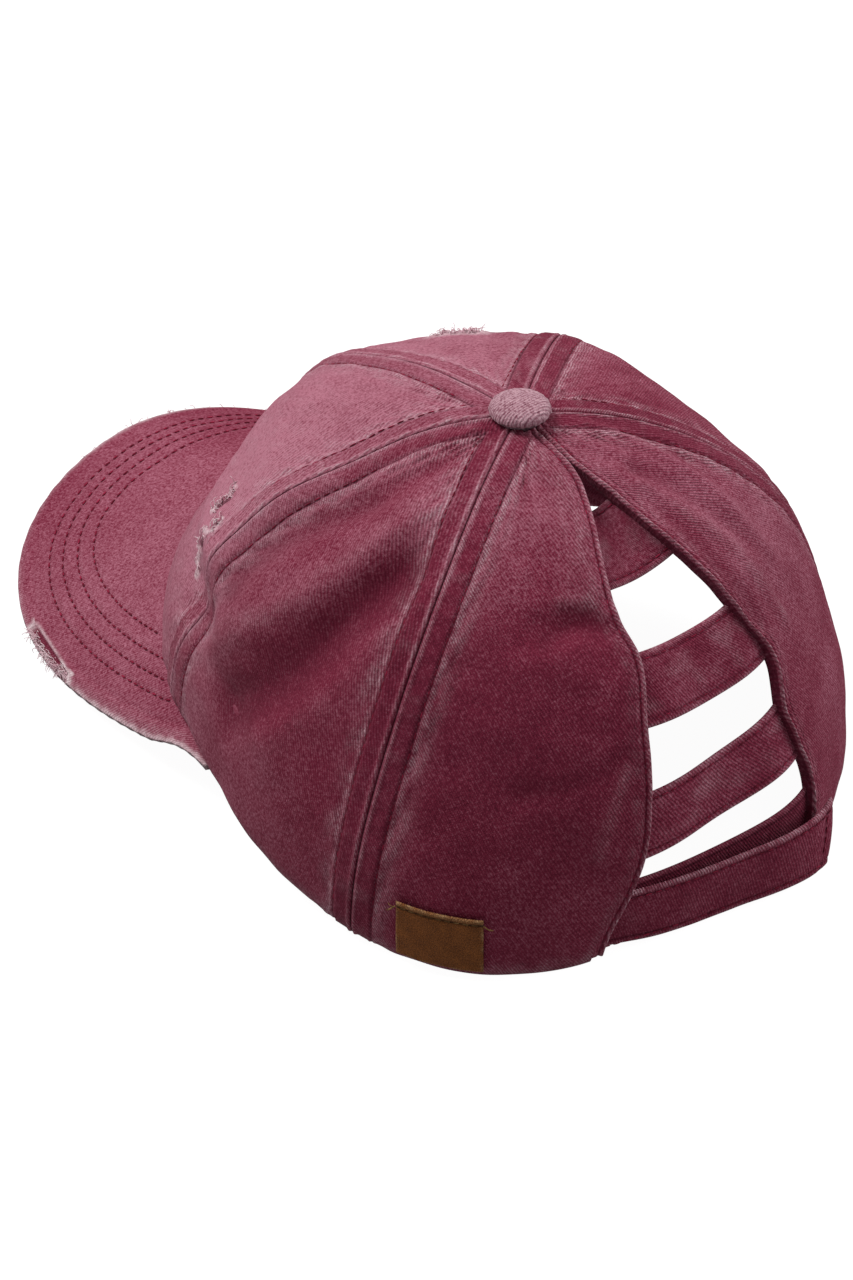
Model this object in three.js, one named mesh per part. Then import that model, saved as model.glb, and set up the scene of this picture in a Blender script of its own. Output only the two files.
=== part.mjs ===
// Ponytail baseball cap in washed cotton twill: six crown panels, a covered button, a curved visor,
// a sweatband, three ladder straps over a split back, a closure strap with its inner tab, and a
// leather patch. Millimetres, +Z up. The peak points to -Y, the split back opens to +Y, and the cap
// rests on the back of its rim and on the two low corners of the visor.
import * as THREE from 'three';

// Crown
const CROWN_HALF_WIDTH = 85;
const CROWN_FRONT_REACH = 110;
const CROWN_BACK_REACH = 89;
const CROWN_HEIGHT = 105;
const CROWN_TOP_BACKSET = 2; // how far behind the rim's centre the button sits
const CROWN_WALL = 1.6;
const RIM_FRONT_LIFT = 33; // height of the rim at the middle of the forehead
const RIM_LIFT_POWER = 1.6;
const RIM_RESTING_SHARE = 0.12; // the back part of the rim that lies flat on the surface
const FRONT_PROFILE_POWER = 2.1; // fullness of the crown towards the front and the back
const BACK_PROFILE_POWER = 1.45;
const RISE_PROFILE_POWER = 2.6;
const TOP_HOLE_RADIUS = 2.4;
const CLEARANCE = 0.3; // between touching pieces

// Visor
const VISOR_REACH = 52; // from the rim to the middle of the edge, in plan
const VISOR_THICKNESS = 3;
const VISOR_END_ANGLE = 68; // where the visor leaves the rim, in degrees from the front
const VISOR_SQUARENESS = 2.9;
const VISOR_ARCH = 34.4; // how far the sides bend down below the middle
const VISOR_ARCH_POWER = 1.73;
const VISOR_PITCH = 0.24;

// Button
const BUTTON_RADIUS = 7.8;
const BUTTON_DOME_HEIGHT = 3.2;
const BUTTON_SIDE_HEIGHT = 1.6;
const BUTTON_SHANK_RADIUS = 1.6;
const BUTTON_WASHER_RADIUS = 4.5;
const BUTTON_WASHER_THICKNESS = 0.8;
const BUTTON_WASHER_DROP = 1.2; // below the inside of the crown's top, which falls away around it

// Sweatband
const SWEATBAND_HEIGHT = 28;
const SWEATBAND_THICKNESS = 1.2;
const SWEATBAND_GAP = 0.95; // from the inside of the panels
const SWEATBAND_LEFT_END = 140;
const SWEATBAND_RIGHT_END = -150;

// Rolled hems along the split back
const HEM_WIDTH = 3;
const HEM_THICKNESS = 2.3;
const HEM_GAP = 0.8; // from the edge of the panel
const HEM_TOP_SHARE = 0.09; // how far down from the top the hems begin

// Straps
const STRAP_THICKNESS = 1.4;
const STRAP_GAP = 0.6; // from the inside of the panel that it is sewn under
const LADDER_STRAP_WIDTH = 18;
const LADDER_STRAP_TUCK = 7; // length sewn under each panel
const LADDER_STRAP_SAG = 2.5;
const CLOSURE_WIDTH = 14.6;
const CLOSURE_RIM_MARGIN = 3.5;
const CLOSURE_LEFT_END = 143;
const CLOSURE_RIGHT_END = -161.5;
const CLOSURE_TAB_WIDTH = 16.6;
const CLOSURE_TAB_LEFT_END = 156;
const CLOSURE_TAB_RIGHT_END = -152;

// Leather patch
const PATCH_WIDTH = 22;
const PATCH_HEIGHT = 15.5;
const PATCH_THICKNESS = 1.2;
const PATCH_RIM_MARGIN = 2.4;
const PATCH_ANGLE = 126;

// Colours
const TWILL_COLOUR = 0x8c4056;
const BUTTON_COLOUR = 0xa8707c;
const STRAP_COLOUR = 0x86394f;
const BAND_COLOUR = 0x7a3348;
const LEATHER_COLOUR = 0x6b3f24;

// Dents, slopes and swells of the soft crown. Angle is in degrees from the front, positive to the
// wearer's left; share runs from 0 at the button to 1 at the rim; depth is a share of the crown's
// height, negative inwards.
const FOLDS = [
  { name: 'front slope', angle: 0, share: 0.78, halfAngle: 45, halfShare: 0.26, turn: 0, depth: -0.158 },
  { name: 'left shoulder', angle: 35, share: 0.62, halfAngle: 30, halfShare: 0.2, turn: 0, depth: -0.031 },
  { name: 'right shoulder', angle: -35, share: 0.66, halfAngle: 30, halfShare: 0.2, turn: 0, depth: -0.024 },
  { name: 'left front dent', angle: 54, share: 0.8, halfAngle: 13, halfShare: 0.08, turn: 0, depth: -0.05 },
  { name: 'left front swell', angle: 44, share: 0.7, halfAngle: 18, halfShare: 0.09, turn: 0, depth: 0.03 },
  { name: 'dip by the button', angle: 50, share: 0.33, halfAngle: 22, halfShare: 0.14, turn: 0, depth: -0.036 },
  { name: 'hollow over the visor end', angle: 68, share: 0.98, halfAngle: 16, halfShare: 0.14, turn: 0, depth: -0.021 },
  { name: 'left back swell', angle: 128, share: 0.98, halfAngle: 24, halfShare: 0.17, turn: 0, depth: 0.059 },
  { name: 'right back slope', angle: -150, share: 0.8, halfAngle: 24, halfShare: 0.2, turn: 0, depth: -0.034 },
  { name: 'flat behind closure', angle: 176, share: 1, halfAngle: 16, halfShare: 0.18, turn: 0, depth: -0.024 },
  { name: 'right back corner', angle: -165, share: 1, halfAngle: 12, halfShare: 0.12, turn: 0, depth: 0.025 },
  { name: 'right front swell', angle: -62, share: 0.46, halfAngle: 18, halfShare: 0.14, turn: 0, depth: 0.025 },
  { name: 'dip along the front seam', angle: -14, share: 0.34, halfAngle: 22, halfShare: 0.12, turn: 0, depth: -0.023 },
  { name: 'pinch by the opening', angle: 150, share: 0.5, halfAngle: 13, halfShare: 0.05, turn: -8, depth: -0.022 },
  { name: 'upper valley', angle: 76.5, share: 0.36, halfAngle: 8, halfShare: 0.24, turn: 39, depth: -0.03 },
  { name: 'lower valley', angle: 94, share: 0.6, halfAngle: 7, halfShare: 0.22, turn: 37, depth: -0.026 },
];

// Seams between panels: angle at each share of the way from the button to the rim
const SEAM_FRONT = [{ share: 0, angle: 0 }, { share: 1, angle: 0 }];
const SEAM_FRONT_LEFT = [{ share: 0, angle: 54 }, { share: 1, angle: 54 }];
const SEAM_FRONT_RIGHT = [{ share: 0, angle: -54 }, { share: 1, angle: -54 }];
const SEAM_BACK_LEFT = [
  { share: 0, angle: 117 },
  { share: 0.4, angle: 116.5 },
  { share: 0.7, angle: 114 },
  { share: 1, angle: 110.5 },
];
const SEAM_BACK_RIGHT = [{ share: 0, angle: -116 }, { share: 1, angle: -116 }];
const OPENING_LEFT = [
  { share: 0, angle: 180 },
  { share: 0.2, angle: 180 },
  { share: 0.25, angle: 178 },
  { share: 0.32, angle: 172.2 },
  { share: 0.4, angle: 166.9 },
  { share: 0.5, angle: 164.4 },
  { share: 0.58, angle: 165.9 },
  { share: 0.68, angle: 163.5 },
  { share: 0.8, angle: 161.7 },
  { share: 0.9, angle: 158.7 },
  { share: 1, angle: 152 },
];
const OPENING_RIGHT = [
  { share: 0, angle: -180 },
  { share: 0.2, angle: -180 },
  { share: 0.25, angle: -177.5 },
  { share: 0.3, angle: -174.5 },
  { share: 0.4, angle: -171 },
  { share: 0.5, angle: -167.3 },
  { share: 0.6, angle: -164.8 },
  { share: 0.69, angle: -162.8 },
  { share: 0.78, angle: -164.4 },
  { share: 0.86, angle: -163.6 },
  { share: 0.92, angle: -162.9 },
  { share: 1, angle: -168 },
];

// Ladder straps: the share at which each strap's middle meets the left and right edge of the
// opening, and its width as a share of the strap width
const LADDER_STRAPS = [
  { left: 0.397, right: 0.394, width: 1.08 },
  { left: 0.632, right: 0.64, width: 1 },
  { left: 0.846, right: 0.824, width: 0.88 },
];

const radians = THREE.MathUtils.degToRad;
const lerp = THREE.MathUtils.lerp;
const smoothstep = THREE.MathUtils.smoothstep;

// Angle of a seam or edge at a share, on a smooth curve through its table
function angleAt(table, share) {
  let row = 0;
  while (row < table.length - 2 && share > table[row + 1].share) row += 1;
  const [start, end] = [table[row], table[row + 1]];
  const slope = (from, to) => (to.angle - from.angle) / (to.share - from.share);
  const middle = slope(start, end);
  const startSlope = row > 0 ? (slope(table[row - 1], start) + middle) / 2 : middle;
  const endSlope = row < table.length - 2 ? (middle + slope(end, table[row + 2])) / 2 : middle;
  const span = end.share - start.share;
  const s = (share - start.share) / span;
  return (
    start.angle * (1 + 2 * s) * (1 - s) ** 2 +
    startSlope * span * s * (1 - s) ** 2 +
    end.angle * s * s * (3 - 2 * s) +
    endSlope * span * s * s * (s - 1)
  );
}

function rimRadius(angle) {
  const reach = Math.cos(radians(angle)) > 0 ? CROWN_FRONT_REACH : CROWN_BACK_REACH;
  return 1 / Math.hypot(Math.sin(radians(angle)) / CROWN_HALF_WIDTH, Math.cos(radians(angle)) / reach);
}

function rimHeight(angle) {
  const frontness = 0.5 + 0.5 * Math.cos(radians(angle));
  const raised = Math.max(0, (frontness - RIM_RESTING_SHARE) / (1 - RIM_RESTING_SHARE));
  return RIM_FRONT_LIFT * raised ** RIM_LIFT_POWER;
}

function foldDepth(angle, share) {
  let depth = 0;
  for (const fold of FOLDS) {
    const away = THREE.MathUtils.euclideanModulo(angle - fold.angle + 180, 360) - 180;
    const down = (share - fold.share) * 90;
    const [c, s] = [Math.cos(radians(fold.turn)), Math.sin(radians(fold.turn))];
    const across = (away * c + down * s) / fold.halfAngle;
    const along = (down * c - away * s) / (fold.halfShare * 90);
    depth += fold.depth * Math.exp(-across * across - along * along);
  }
  return depth * CROWN_HEIGHT;
}

// A point of the crown's outer surface, or of a surface a given offset outside it
function crownPoint(angle, share, offset = 0) {
  const slope = radians(90 * share);
  const [c, s] = [Math.cos(radians(angle)), Math.sin(radians(angle))];
  const power = lerp(BACK_PROFILE_POWER, FRONT_PROFILE_POWER, 0.5 + 0.5 * c);
  const spread = Math.sin(slope) ** (2 / power);
  const rise = Math.max(0, Math.cos(slope)) ** (2 / RISE_PROFILE_POWER);
  const radius = rimRadius(angle) * spread;
  const bottom = rimHeight(angle);
  const out = offset + foldDepth(angle, share);
  return new THREE.Vector3(
    radius * s + out * s * Math.sin(slope),
    CROWN_TOP_BACKSET * (1 - spread) - radius * c - out * c * Math.sin(slope),
    bottom + (CROWN_HEIGHT - bottom) * rise + out * (share < 1 ? Math.cos(slope) : 0),
  );
}

// Degrees that a length takes up around the crown at a place
function degreesFor(length, angle, share) {
  const point = crownPoint(angle, share);
  return THREE.MathUtils.radToDeg(length / Math.hypot(point.x, point.y - CROWN_TOP_BACKSET));
}

// Share of the way down that a length takes up at a place
function shareFor(length, angle, share) {
  const step = 0.01;
  return (length * 2 * step) / crownPoint(angle, share - step).distanceTo(crownPoint(angle, share + step));
}

// Share at which the crown stands a given height above its rim
function shareAtHeight(angle, height) {
  const rise = height / (CROWN_HEIGHT - rimHeight(angle));
  return Math.acos(Math.min(1, rise ** (RISE_PROFILE_POWER / 2))) / (Math.PI / 2);
}

// Share at which the crown reaches a given distance from its middle
function shareAtRadius(angle, distance) {
  const power = lerp(BACK_PROFILE_POWER, FRONT_PROFILE_POWER, 0.5 + 0.5 * Math.cos(radians(angle)));
  return Math.asin((distance / rimRadius(angle)) ** (power / 2)) / (Math.PI / 2);
}

function orientedGeometry(positions, triangles) {
  const corner = (index) => new THREE.Vector3().fromArray(positions, index * 3);
  let volume = 0;
  for (let i = 0; i < triangles.length; i += 3) {
    const [a, b, c] = [corner(triangles[i]), corner(triangles[i + 1]), corner(triangles[i + 2])];
    volume += a.dot(b.cross(c));
  }
  const faces = volume < 0 ? triangles.slice().reverse() : triangles;
  const geometry = new THREE.BufferGeometry();
  geometry.setAttribute('position', new THREE.Float32BufferAttribute(positions, 3));
  geometry.setIndex(faces);
  geometry.computeVertexNormals();
  return geometry;
}

// A closed wall between an outer and an inner sheet, each a function of u and v from 0 to 1
function wallGeometry(columns, rows, outerSheet, innerSheet) {
  const positions = [];
  const triangles = [];
  for (const sheet of [outerSheet, innerSheet]) {
    for (let row = 0; row <= rows; row += 1) {
      for (let column = 0; column <= columns; column += 1) {
        positions.push(...sheet(column / columns, row / rows).toArray());
      }
    }
  }
  const layer = (columns + 1) * (rows + 1);
  const vertex = (column, row, inner) => inner * layer + row * (columns + 1) + column;
  const quad = (a, b, c, d) => triangles.push(a, b, c, a, c, d);
  for (let row = 0; row < rows; row += 1) {
    for (let column = 0; column < columns; column += 1) {
      quad(
        vertex(column, row, 0),
        vertex(column, row + 1, 0),
        vertex(column + 1, row + 1, 0),
        vertex(column + 1, row, 0),
      );
      quad(
        vertex(column, row, 1),
        vertex(column + 1, row, 1),
        vertex(column + 1, row + 1, 1),
        vertex(column, row + 1, 1),
      );
    }
    quad(vertex(0, row, 0), vertex(0, row, 1), vertex(0, row + 1, 1), vertex(0, row + 1, 0));
    quad(
      vertex(columns, row, 0),
      vertex(columns, row + 1, 0),
      vertex(columns, row + 1, 1),
      vertex(columns, row, 1),
    );
  }
  for (let column = 0; column < columns; column += 1) {
    quad(vertex(column, 0, 0), vertex(column + 1, 0, 0), vertex(column + 1, 0, 1), vertex(column, 0, 1));
    quad(
      vertex(column, rows, 0),
      vertex(column, rows, 1),
      vertex(column + 1, rows, 1),
      vertex(column + 1, rows, 0),
    );
  }
  return orientedGeometry(positions, triangles);
}

// A closed rod whose section at each step is a ring of points
function rodGeometry(steps, sides, ringPoint) {
  const positions = [];
  const triangles = [];
  for (let step = 0; step <= steps; step += 1) {
    for (let side = 0; side < sides; side += 1) {
      positions.push(...ringPoint(step / steps, (side / sides) * 360).toArray());
    }
  }
  for (let step = 0; step < steps; step += 1) {
    for (let side = 0; side < sides; side += 1) {
      const next = (side + 1) % sides;
      const [a, b] = [step * sides + side, step * sides + next];
      triangles.push(a, b, b + sides, a, b + sides, a + sides);
    }
  }
  for (let side = 1; side < sides - 1; side += 1) {
    triangles.push(0, side + 1, side);
    triangles.push(steps * sides, steps * sides + side, steps * sides + side + 1);
  }
  return orientedGeometry(positions, triangles);
}

const cap = new THREE.Group();

function addPiece(name, geometry, color, roughness) {
  const mesh = new THREE.Mesh(geometry, new THREE.MeshStandardMaterial({ color, roughness, metalness: 0 }));
  mesh.name = name;
  cap.add(mesh);
}

// Crown panels: each runs from its seam to the next, from the hole under the button to the rim
function addPanel(name, fromEdge, toEdge, rows = 15) {
  const nearTop = 0.03;
  const sheet = (offset) => (u, v) => {
    const topShare = shareAtRadius(lerp(fromEdge(nearTop), toEdge(nearTop), u), TOP_HOLE_RADIUS);
    const share = lerp(topShare, 1, v);
    return crownPoint(lerp(fromEdge(share), toEdge(share), u), share, offset);
  };
  addPiece(name, wallGeometry(8, rows, sheet(0), sheet(-CROWN_WALL)), TWILL_COLOUR, 0.9);
}

// A panel's cut edge stands back from the seam line by half the clearance, or from the outline of
// the opening by the width of the rolled hem
function seamEdge(table, side) {
  return (share) => {
    const angle = angleAt(table, share);
    return angle + side * degreesFor(CLEARANCE / 2, angle, share);
  };
}

function openingEdge(table, side, inset) {
  return (share) => {
    const angle = angleAt(table, share);
    return angle + side * degreesFor(inset + CLEARANCE / 2, angle, share);
  };
}

const hemInset = HEM_WIDTH + HEM_GAP;

// Above the hems the back panels meet like the others; below, they make room for the hems
function backPanelEdge(table, side) {
  return (share) => {
    const room = smoothstep(share, HEM_TOP_SHARE - 0.04, HEM_TOP_SHARE - 0.01);
    return openingEdge(table, side, hemInset * room)(share);
  };
}

addPanel('panel_front_left', seamEdge(SEAM_FRONT, 1), seamEdge(SEAM_FRONT_LEFT, -1));
addPanel('panel_front_right', seamEdge(SEAM_FRONT_RIGHT, 1), seamEdge(SEAM_FRONT, -1));
addPanel('panel_side_left', seamEdge(SEAM_FRONT_LEFT, 1), seamEdge(SEAM_BACK_LEFT, -1));
addPanel('panel_side_right', seamEdge(SEAM_BACK_RIGHT, 1), seamEdge(SEAM_FRONT_RIGHT, -1));
addPanel('panel_back_left', seamEdge(SEAM_BACK_LEFT, 1), backPanelEdge(OPENING_LEFT, -1), 22);
addPanel('panel_back_right', backPanelEdge(OPENING_RIGHT, 1), seamEdge(SEAM_BACK_RIGHT, -1), 22);

// Rolled hems: a bead along each edge of the split back, from just below the button to the rim
function addHem(name, table, side) {
  const ring = (step, turn) => {
    const share = lerp(HEM_TOP_SHARE, 1, step);
    const edge = openingEdge(table, side, CLEARANCE / 2)(share);
    const across = (HEM_WIDTH / 2) * (1 + Math.cos(radians(turn)));
    const lift = (HEM_THICKNESS / 2) * (1 + Math.sin(radians(turn))) - CROWN_WALL;
    return crownPoint(edge + side * degreesFor(across, edge, share), share, lift);
  };
  addPiece(name, rodGeometry(26, 8, ring), TWILL_COLOUR, 0.9);
}

addHem('hem_left', OPENING_LEFT, -1);
addHem('hem_right', OPENING_RIGHT, 1);

// Covered button on a shank through the hole where the panels meet, held by a washer inside
function addButton() {
  const seat = CROWN_HEIGHT + CLEARANCE;
  const under = CROWN_HEIGHT - CROWN_WALL - BUTTON_WASHER_DROP;
  const outline = [
    new THREE.Vector2(0, under - BUTTON_WASHER_THICKNESS),
    new THREE.Vector2(BUTTON_WASHER_RADIUS, under - BUTTON_WASHER_THICKNESS),
    new THREE.Vector2(BUTTON_WASHER_RADIUS, under),
    new THREE.Vector2(BUTTON_SHANK_RADIUS, under),
    new THREE.Vector2(BUTTON_SHANK_RADIUS, seat),
    new THREE.Vector2(BUTTON_RADIUS - 0.5, seat),
    new THREE.Vector2(BUTTON_RADIUS, seat + BUTTON_SIDE_HEIGHT / 2),
  ];
  const domeSteps = 5;
  for (let step = 0; step <= domeSteps; step += 1) {
    const turn = (step / domeSteps) * (Math.PI / 2);
    const top = seat + BUTTON_SIDE_HEIGHT + BUTTON_DOME_HEIGHT * Math.sin(turn);
    outline.push(new THREE.Vector2(step < domeSteps ? BUTTON_RADIUS * Math.cos(turn) : 0, top));
  }
  const sides = 20;
  const positions = [];
  const triangles = [];
  positions.push(0, CROWN_TOP_BACKSET, outline[0].y);
  for (const point of outline.slice(1, -1)) {
    for (let side = 0; side < sides; side += 1) {
      const turn = (side / sides) * 2 * Math.PI;
      positions.push(point.x * Math.cos(turn), CROWN_TOP_BACKSET + point.x * Math.sin(turn), point.y);
    }
  }
  positions.push(0, CROWN_TOP_BACKSET, outline.at(-1).y);
  const rings = outline.length - 2;
  const ringVertex = (ring, side) => 1 + ring * sides + (side % sides);
  for (let side = 0; side < sides; side += 1) {
    triangles.push(0, ringVertex(0, side + 1), ringVertex(0, side));
    for (let ring = 0; ring < rings - 1; ring += 1) {
      const [a, b] = [ringVertex(ring, side), ringVertex(ring, side + 1)];
      const [c, d] = [ringVertex(ring + 1, side + 1), ringVertex(ring + 1, side)];
      triangles.push(a, b, c, a, c, d);
    }
    triangles.push(positions.length / 3 - 1, ringVertex(rings - 1, side), ringVertex(rings - 1, side + 1));
  }
  addPiece('button', orientedGeometry(positions, triangles), BUTTON_COLOUR, 0.9);
}

addButton();

// Visor: a ruled sheet from the rim to its rounded edge, arched from side to side
const visorEnd = crownPoint(VISOR_END_ANGLE, 1);
const visorLength = CROWN_FRONT_REACH + VISOR_REACH + visorEnd.y;

function visorEdgePlan(turn) {
  const [c, s] = [Math.cos(radians(turn)), Math.sin(radians(turn))];
  const share = (Math.abs(s) / visorEnd.x) ** VISOR_SQUARENESS + (Math.abs(c) / visorLength) ** VISOR_SQUARENESS;
  const radius = share ** (-1 / VISOR_SQUARENESS);
  return new THREE.Vector2(radius * s, visorEnd.y - radius * c);
}

function visorArch(plan) {
  const side = Math.abs(plan.x / visorEnd.x) ** VISOR_ARCH_POWER;
  return RIM_FRONT_LIFT - VISOR_ARCH * side + VISOR_PITCH * (plan.y + CROWN_FRONT_REACH);
}

// The visor's low corners stand on the surface that the rim rests on
let visorLowest = Infinity;
for (let turn = 0; turn <= 90; turn += 1) {
  visorLowest = Math.min(visorLowest, visorArch(visorEdgePlan(turn)));
}

function visorSheet(drop) {
  return (u, v) => {
    const side = 2 * u - 1;
    const angle = side * VISOR_END_ANGLE;
    const inner = crownPoint(angle, 1, -CROWN_WALL * 0.8);
    inner.z = rimHeight(angle) - CLEARANCE;
    const plan = visorEdgePlan(side * 90);
    const arched = visorArch(plan) - visorLowest + VISOR_THICKNESS;
    const tuck = smoothstep(Math.abs(side), 0.8, 1);
    const outer = new THREE.Vector3(plan.x, plan.y, lerp(arched, rimHeight(angle) - CLEARANCE, tuck));
    const point = inner.lerp(outer, v);
    point.z -= drop;
    return point;
  };
}

addPiece('visor', wallGeometry(30, 6, visorSheet(0), visorSheet(VISOR_THICKNESS)), TWILL_COLOUR, 0.9);

// A band around the crown: end angles, heights above the rim and the offset of its outer face
function bandSheet(leftEnd, rightEnd, bottom, height, offset) {
  return (u, v) => {
    const angle = lerp(leftEnd, rightEnd, u);
    const share = shareAtHeight(angle, bottom + height * (1 - v));
    return crownPoint(angle, share, offset(u));
  };
}

function addBand(name, columns, rows, ends, bottom, height, thickness, offset, color) {
  const outer = bandSheet(ends[0], ends[1], bottom, height, offset);
  const inner = bandSheet(ends[0], ends[1], bottom, height, (u) => offset(u) - thickness);
  addPiece(name, wallGeometry(columns, rows, outer, inner), color, 0.9);
}

const underPanel = -CROWN_WALL - STRAP_GAP;

addBand(
  'sweatband',
  48,
  6,
  [SWEATBAND_LEFT_END, SWEATBAND_RIGHT_END],
  CLEARANCE,
  SWEATBAND_HEIGHT,
  SWEATBAND_THICKNESS,
  () => -CROWN_WALL - SWEATBAND_GAP,
  BAND_COLOUR,
);

// Closure strap: sewn under the left panel, it crosses the opening and lies over the right corner
const overHem = HEM_THICKNESS - CROWN_WALL + CLEARANCE + STRAP_THICKNESS;
const closureSpan = 360 + CLOSURE_RIGHT_END - CLOSURE_LEFT_END;
const shareOfClosure = (angle) => (angle - CLOSURE_LEFT_END) / closureSpan;
const closureCrossing = [
  shareOfClosure(angleAt(OPENING_LEFT, 1) + 3),
  shareOfClosure(360 + angleAt(OPENING_RIGHT, 1) - 5),
];
const closureOffset = (u) => lerp(underPanel, overHem, smoothstep(u, ...closureCrossing));

addBand(
  'closure_strap',
  20,
  3,
  [CLOSURE_LEFT_END, 360 + CLOSURE_RIGHT_END],
  CLOSURE_RIM_MARGIN,
  CLOSURE_WIDTH,
  STRAP_THICKNESS,
  closureOffset,
  STRAP_COLOUR,
);

// Inner tab: sewn under the right panel, it lies behind the closure strap
const tabOffset = (u) => lerp(underPanel - STRAP_THICKNESS - CLEARANCE, underPanel, smoothstep(u, 0, 0.8));

addBand(
  'closure_tab',
  20,
  3,
  [CLOSURE_TAB_LEFT_END, 360 + CLOSURE_TAB_RIGHT_END],
  CLOSURE_RIM_MARGIN,
  CLOSURE_TAB_WIDTH,
  STRAP_THICKNESS,
  tabOffset,
  STRAP_COLOUR,
);

// Ladder straps: sewn under both panels, they sag a little between them
function addLadderStrap(name, strap) {
  const half = (LADDER_STRAP_WIDTH * strap.width) / 2;
  const leftHalf = shareFor(half, angleAt(OPENING_LEFT, strap.left), strap.left);
  const rightHalf = shareFor(half, angleAt(OPENING_RIGHT, strap.right), strap.right);
  const sheet = (extra) => (u, v) => {
    const leftShare = strap.left + leftHalf * (2 * v - 1);
    const rightShare = strap.right + rightHalf * (2 * v - 1);
    const left = angleAt(OPENING_LEFT, leftShare);
    const right = angleAt(OPENING_RIGHT, rightShare) + 360;
    const from = left - degreesFor(LADDER_STRAP_TUCK, left, leftShare);
    const to = right + degreesFor(LADDER_STRAP_TUCK, right, rightShare);
    const sag = LADDER_STRAP_SAG * Math.sin(Math.PI * smoothstep(u, 0.1, 0.9));
    return crownPoint(lerp(from, to, u), lerp(leftShare, rightShare, u), underPanel - sag - extra);
  };
  addPiece(name, wallGeometry(12, 3, sheet(0), sheet(STRAP_THICKNESS)), STRAP_COLOUR, 0.9);
}

LADDER_STRAPS.forEach((strap, index) => addLadderStrap(`ladder_strap_${index + 1}`, strap));

// Leather patch on the outside of the left back panel, just above the rim
const patchHalfAngle = degreesFor(PATCH_WIDTH / 2, PATCH_ANGLE, 1);
addBand(
  'leather_patch',
  4,
  2,
  [PATCH_ANGLE - patchHalfAngle, PATCH_ANGLE + patchHalfAngle],
  PATCH_RIM_MARGIN,
  PATCH_HEIGHT,
  PATCH_THICKNESS,
  () => CLEARANCE + PATCH_THICKNESS,
  LEATHER_COLOUR,
);

// The origin is on the surface that the cap rests on, under the middle of the whole cap
cap.updateMatrixWorld(true);
const box = new THREE.Box3().setFromObject(cap, true);
cap.position.set(-(box.min.x + box.max.x) / 2, -(box.min.y + box.max.y) / 2, -box.min.z);
cap.updateMatrixWorld(true);

export default cap;
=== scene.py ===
"""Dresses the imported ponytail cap: washed twill panels, hems, straps, visor, stitching and stage."""

import math
import random

import bmesh
import bpy
import numpy as np
from bpy.props import FloatProperty, FloatVectorProperty, PointerProperty
from mathutils import Matrix, Vector


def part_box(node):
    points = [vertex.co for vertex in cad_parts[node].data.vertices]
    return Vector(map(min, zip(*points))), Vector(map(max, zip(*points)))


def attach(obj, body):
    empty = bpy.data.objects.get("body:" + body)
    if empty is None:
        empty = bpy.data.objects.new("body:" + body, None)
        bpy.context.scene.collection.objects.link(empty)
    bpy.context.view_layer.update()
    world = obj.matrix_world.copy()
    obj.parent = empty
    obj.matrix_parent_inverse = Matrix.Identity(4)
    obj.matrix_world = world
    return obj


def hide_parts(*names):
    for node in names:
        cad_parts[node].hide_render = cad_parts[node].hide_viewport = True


bl_info = {
    "name": "Ponytail cap",
    "version": (1, 0, 0),
    "blender": (4, 5, 0),
    "location": "3D View > Sidebar > Cap",
    "description": "Builds the cloth, stitching and leather of a washed ponytail cap around its frame",
    "category": "Object",
}

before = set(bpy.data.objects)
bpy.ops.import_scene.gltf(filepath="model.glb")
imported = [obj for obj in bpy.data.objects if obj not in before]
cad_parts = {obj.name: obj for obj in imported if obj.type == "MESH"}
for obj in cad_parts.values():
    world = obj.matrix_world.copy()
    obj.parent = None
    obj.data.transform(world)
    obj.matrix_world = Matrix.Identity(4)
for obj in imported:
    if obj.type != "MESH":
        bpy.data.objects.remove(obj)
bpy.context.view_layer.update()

MM = 0.001
SAME_PLACE = 1e-6

# Crown, in millimetres about the middle of its rim, as in the frame
CROWN_HALF_WIDTH = 85
CROWN_FRONT_REACH = 110
CROWN_BACK_REACH = 89
CROWN_HEIGHT = 105
CROWN_TOP_BACKSET = 2
CROWN_WALL = 1.6
RIM_FRONT_LIFT = 33
RIM_LIFT_POWER = 1.6
RIM_RESTING_SHARE = 0.12
FRONT_PROFILE_POWER = 2.1
BACK_PROFILE_POWER = 1.45
RISE_PROFILE_POWER = 2.6
TOP_HOLE_RADIUS = 2.4
CLEARANCE = 0.3

# Visor
VISOR_REACH = 52
VISOR_THICKNESS = 3
VISOR_EDGE_THICKNESS = 1.4
VISOR_END_ANGLE = 68
VISOR_SQUARENESS = 2.9
VISOR_ARCH = 34.4
VISOR_ARCH_POWER = 1.73
VISOR_PITCH = 0.24

# Hems, straps and bands
HEM_WIDTH = 3
HEM_THICKNESS = 2.3
HEM_GAP = 0.8
HEM_TOP_SHARE = 0.09
STRAP_THICKNESS = 1.4
STRAP_GAP = 0.6
LADDER_STRAP_WIDTH = 18
LADDER_STRAP_TUCK = 7
LADDER_STRAP_SAG = 2.5
CLOSURE_WIDTH = 14.6
CLOSURE_RIM_MARGIN = 3.5
CLOSURE_FOOT = 1.5
CLOSURE_LEFT_END = 143
CLOSURE_RIGHT_END = 198.5
TAB_WIDTH = 16.6
TAB_LEFT_END = 156
TAB_RIGHT_END = 208
SWEATBAND_HEIGHT = 28
SWEATBAND_THICKNESS = 1.2
SWEATBAND_GAP = 0.95
SWEATBAND_ENDS = (-150, 140)
PATCH_WIDTH = 22
PATCH_HEIGHT = 15.5
PATCH_THICKNESS = 1.2
PATCH_RIM_MARGIN = 2.4
PATCH_ANGLE = 126

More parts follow.
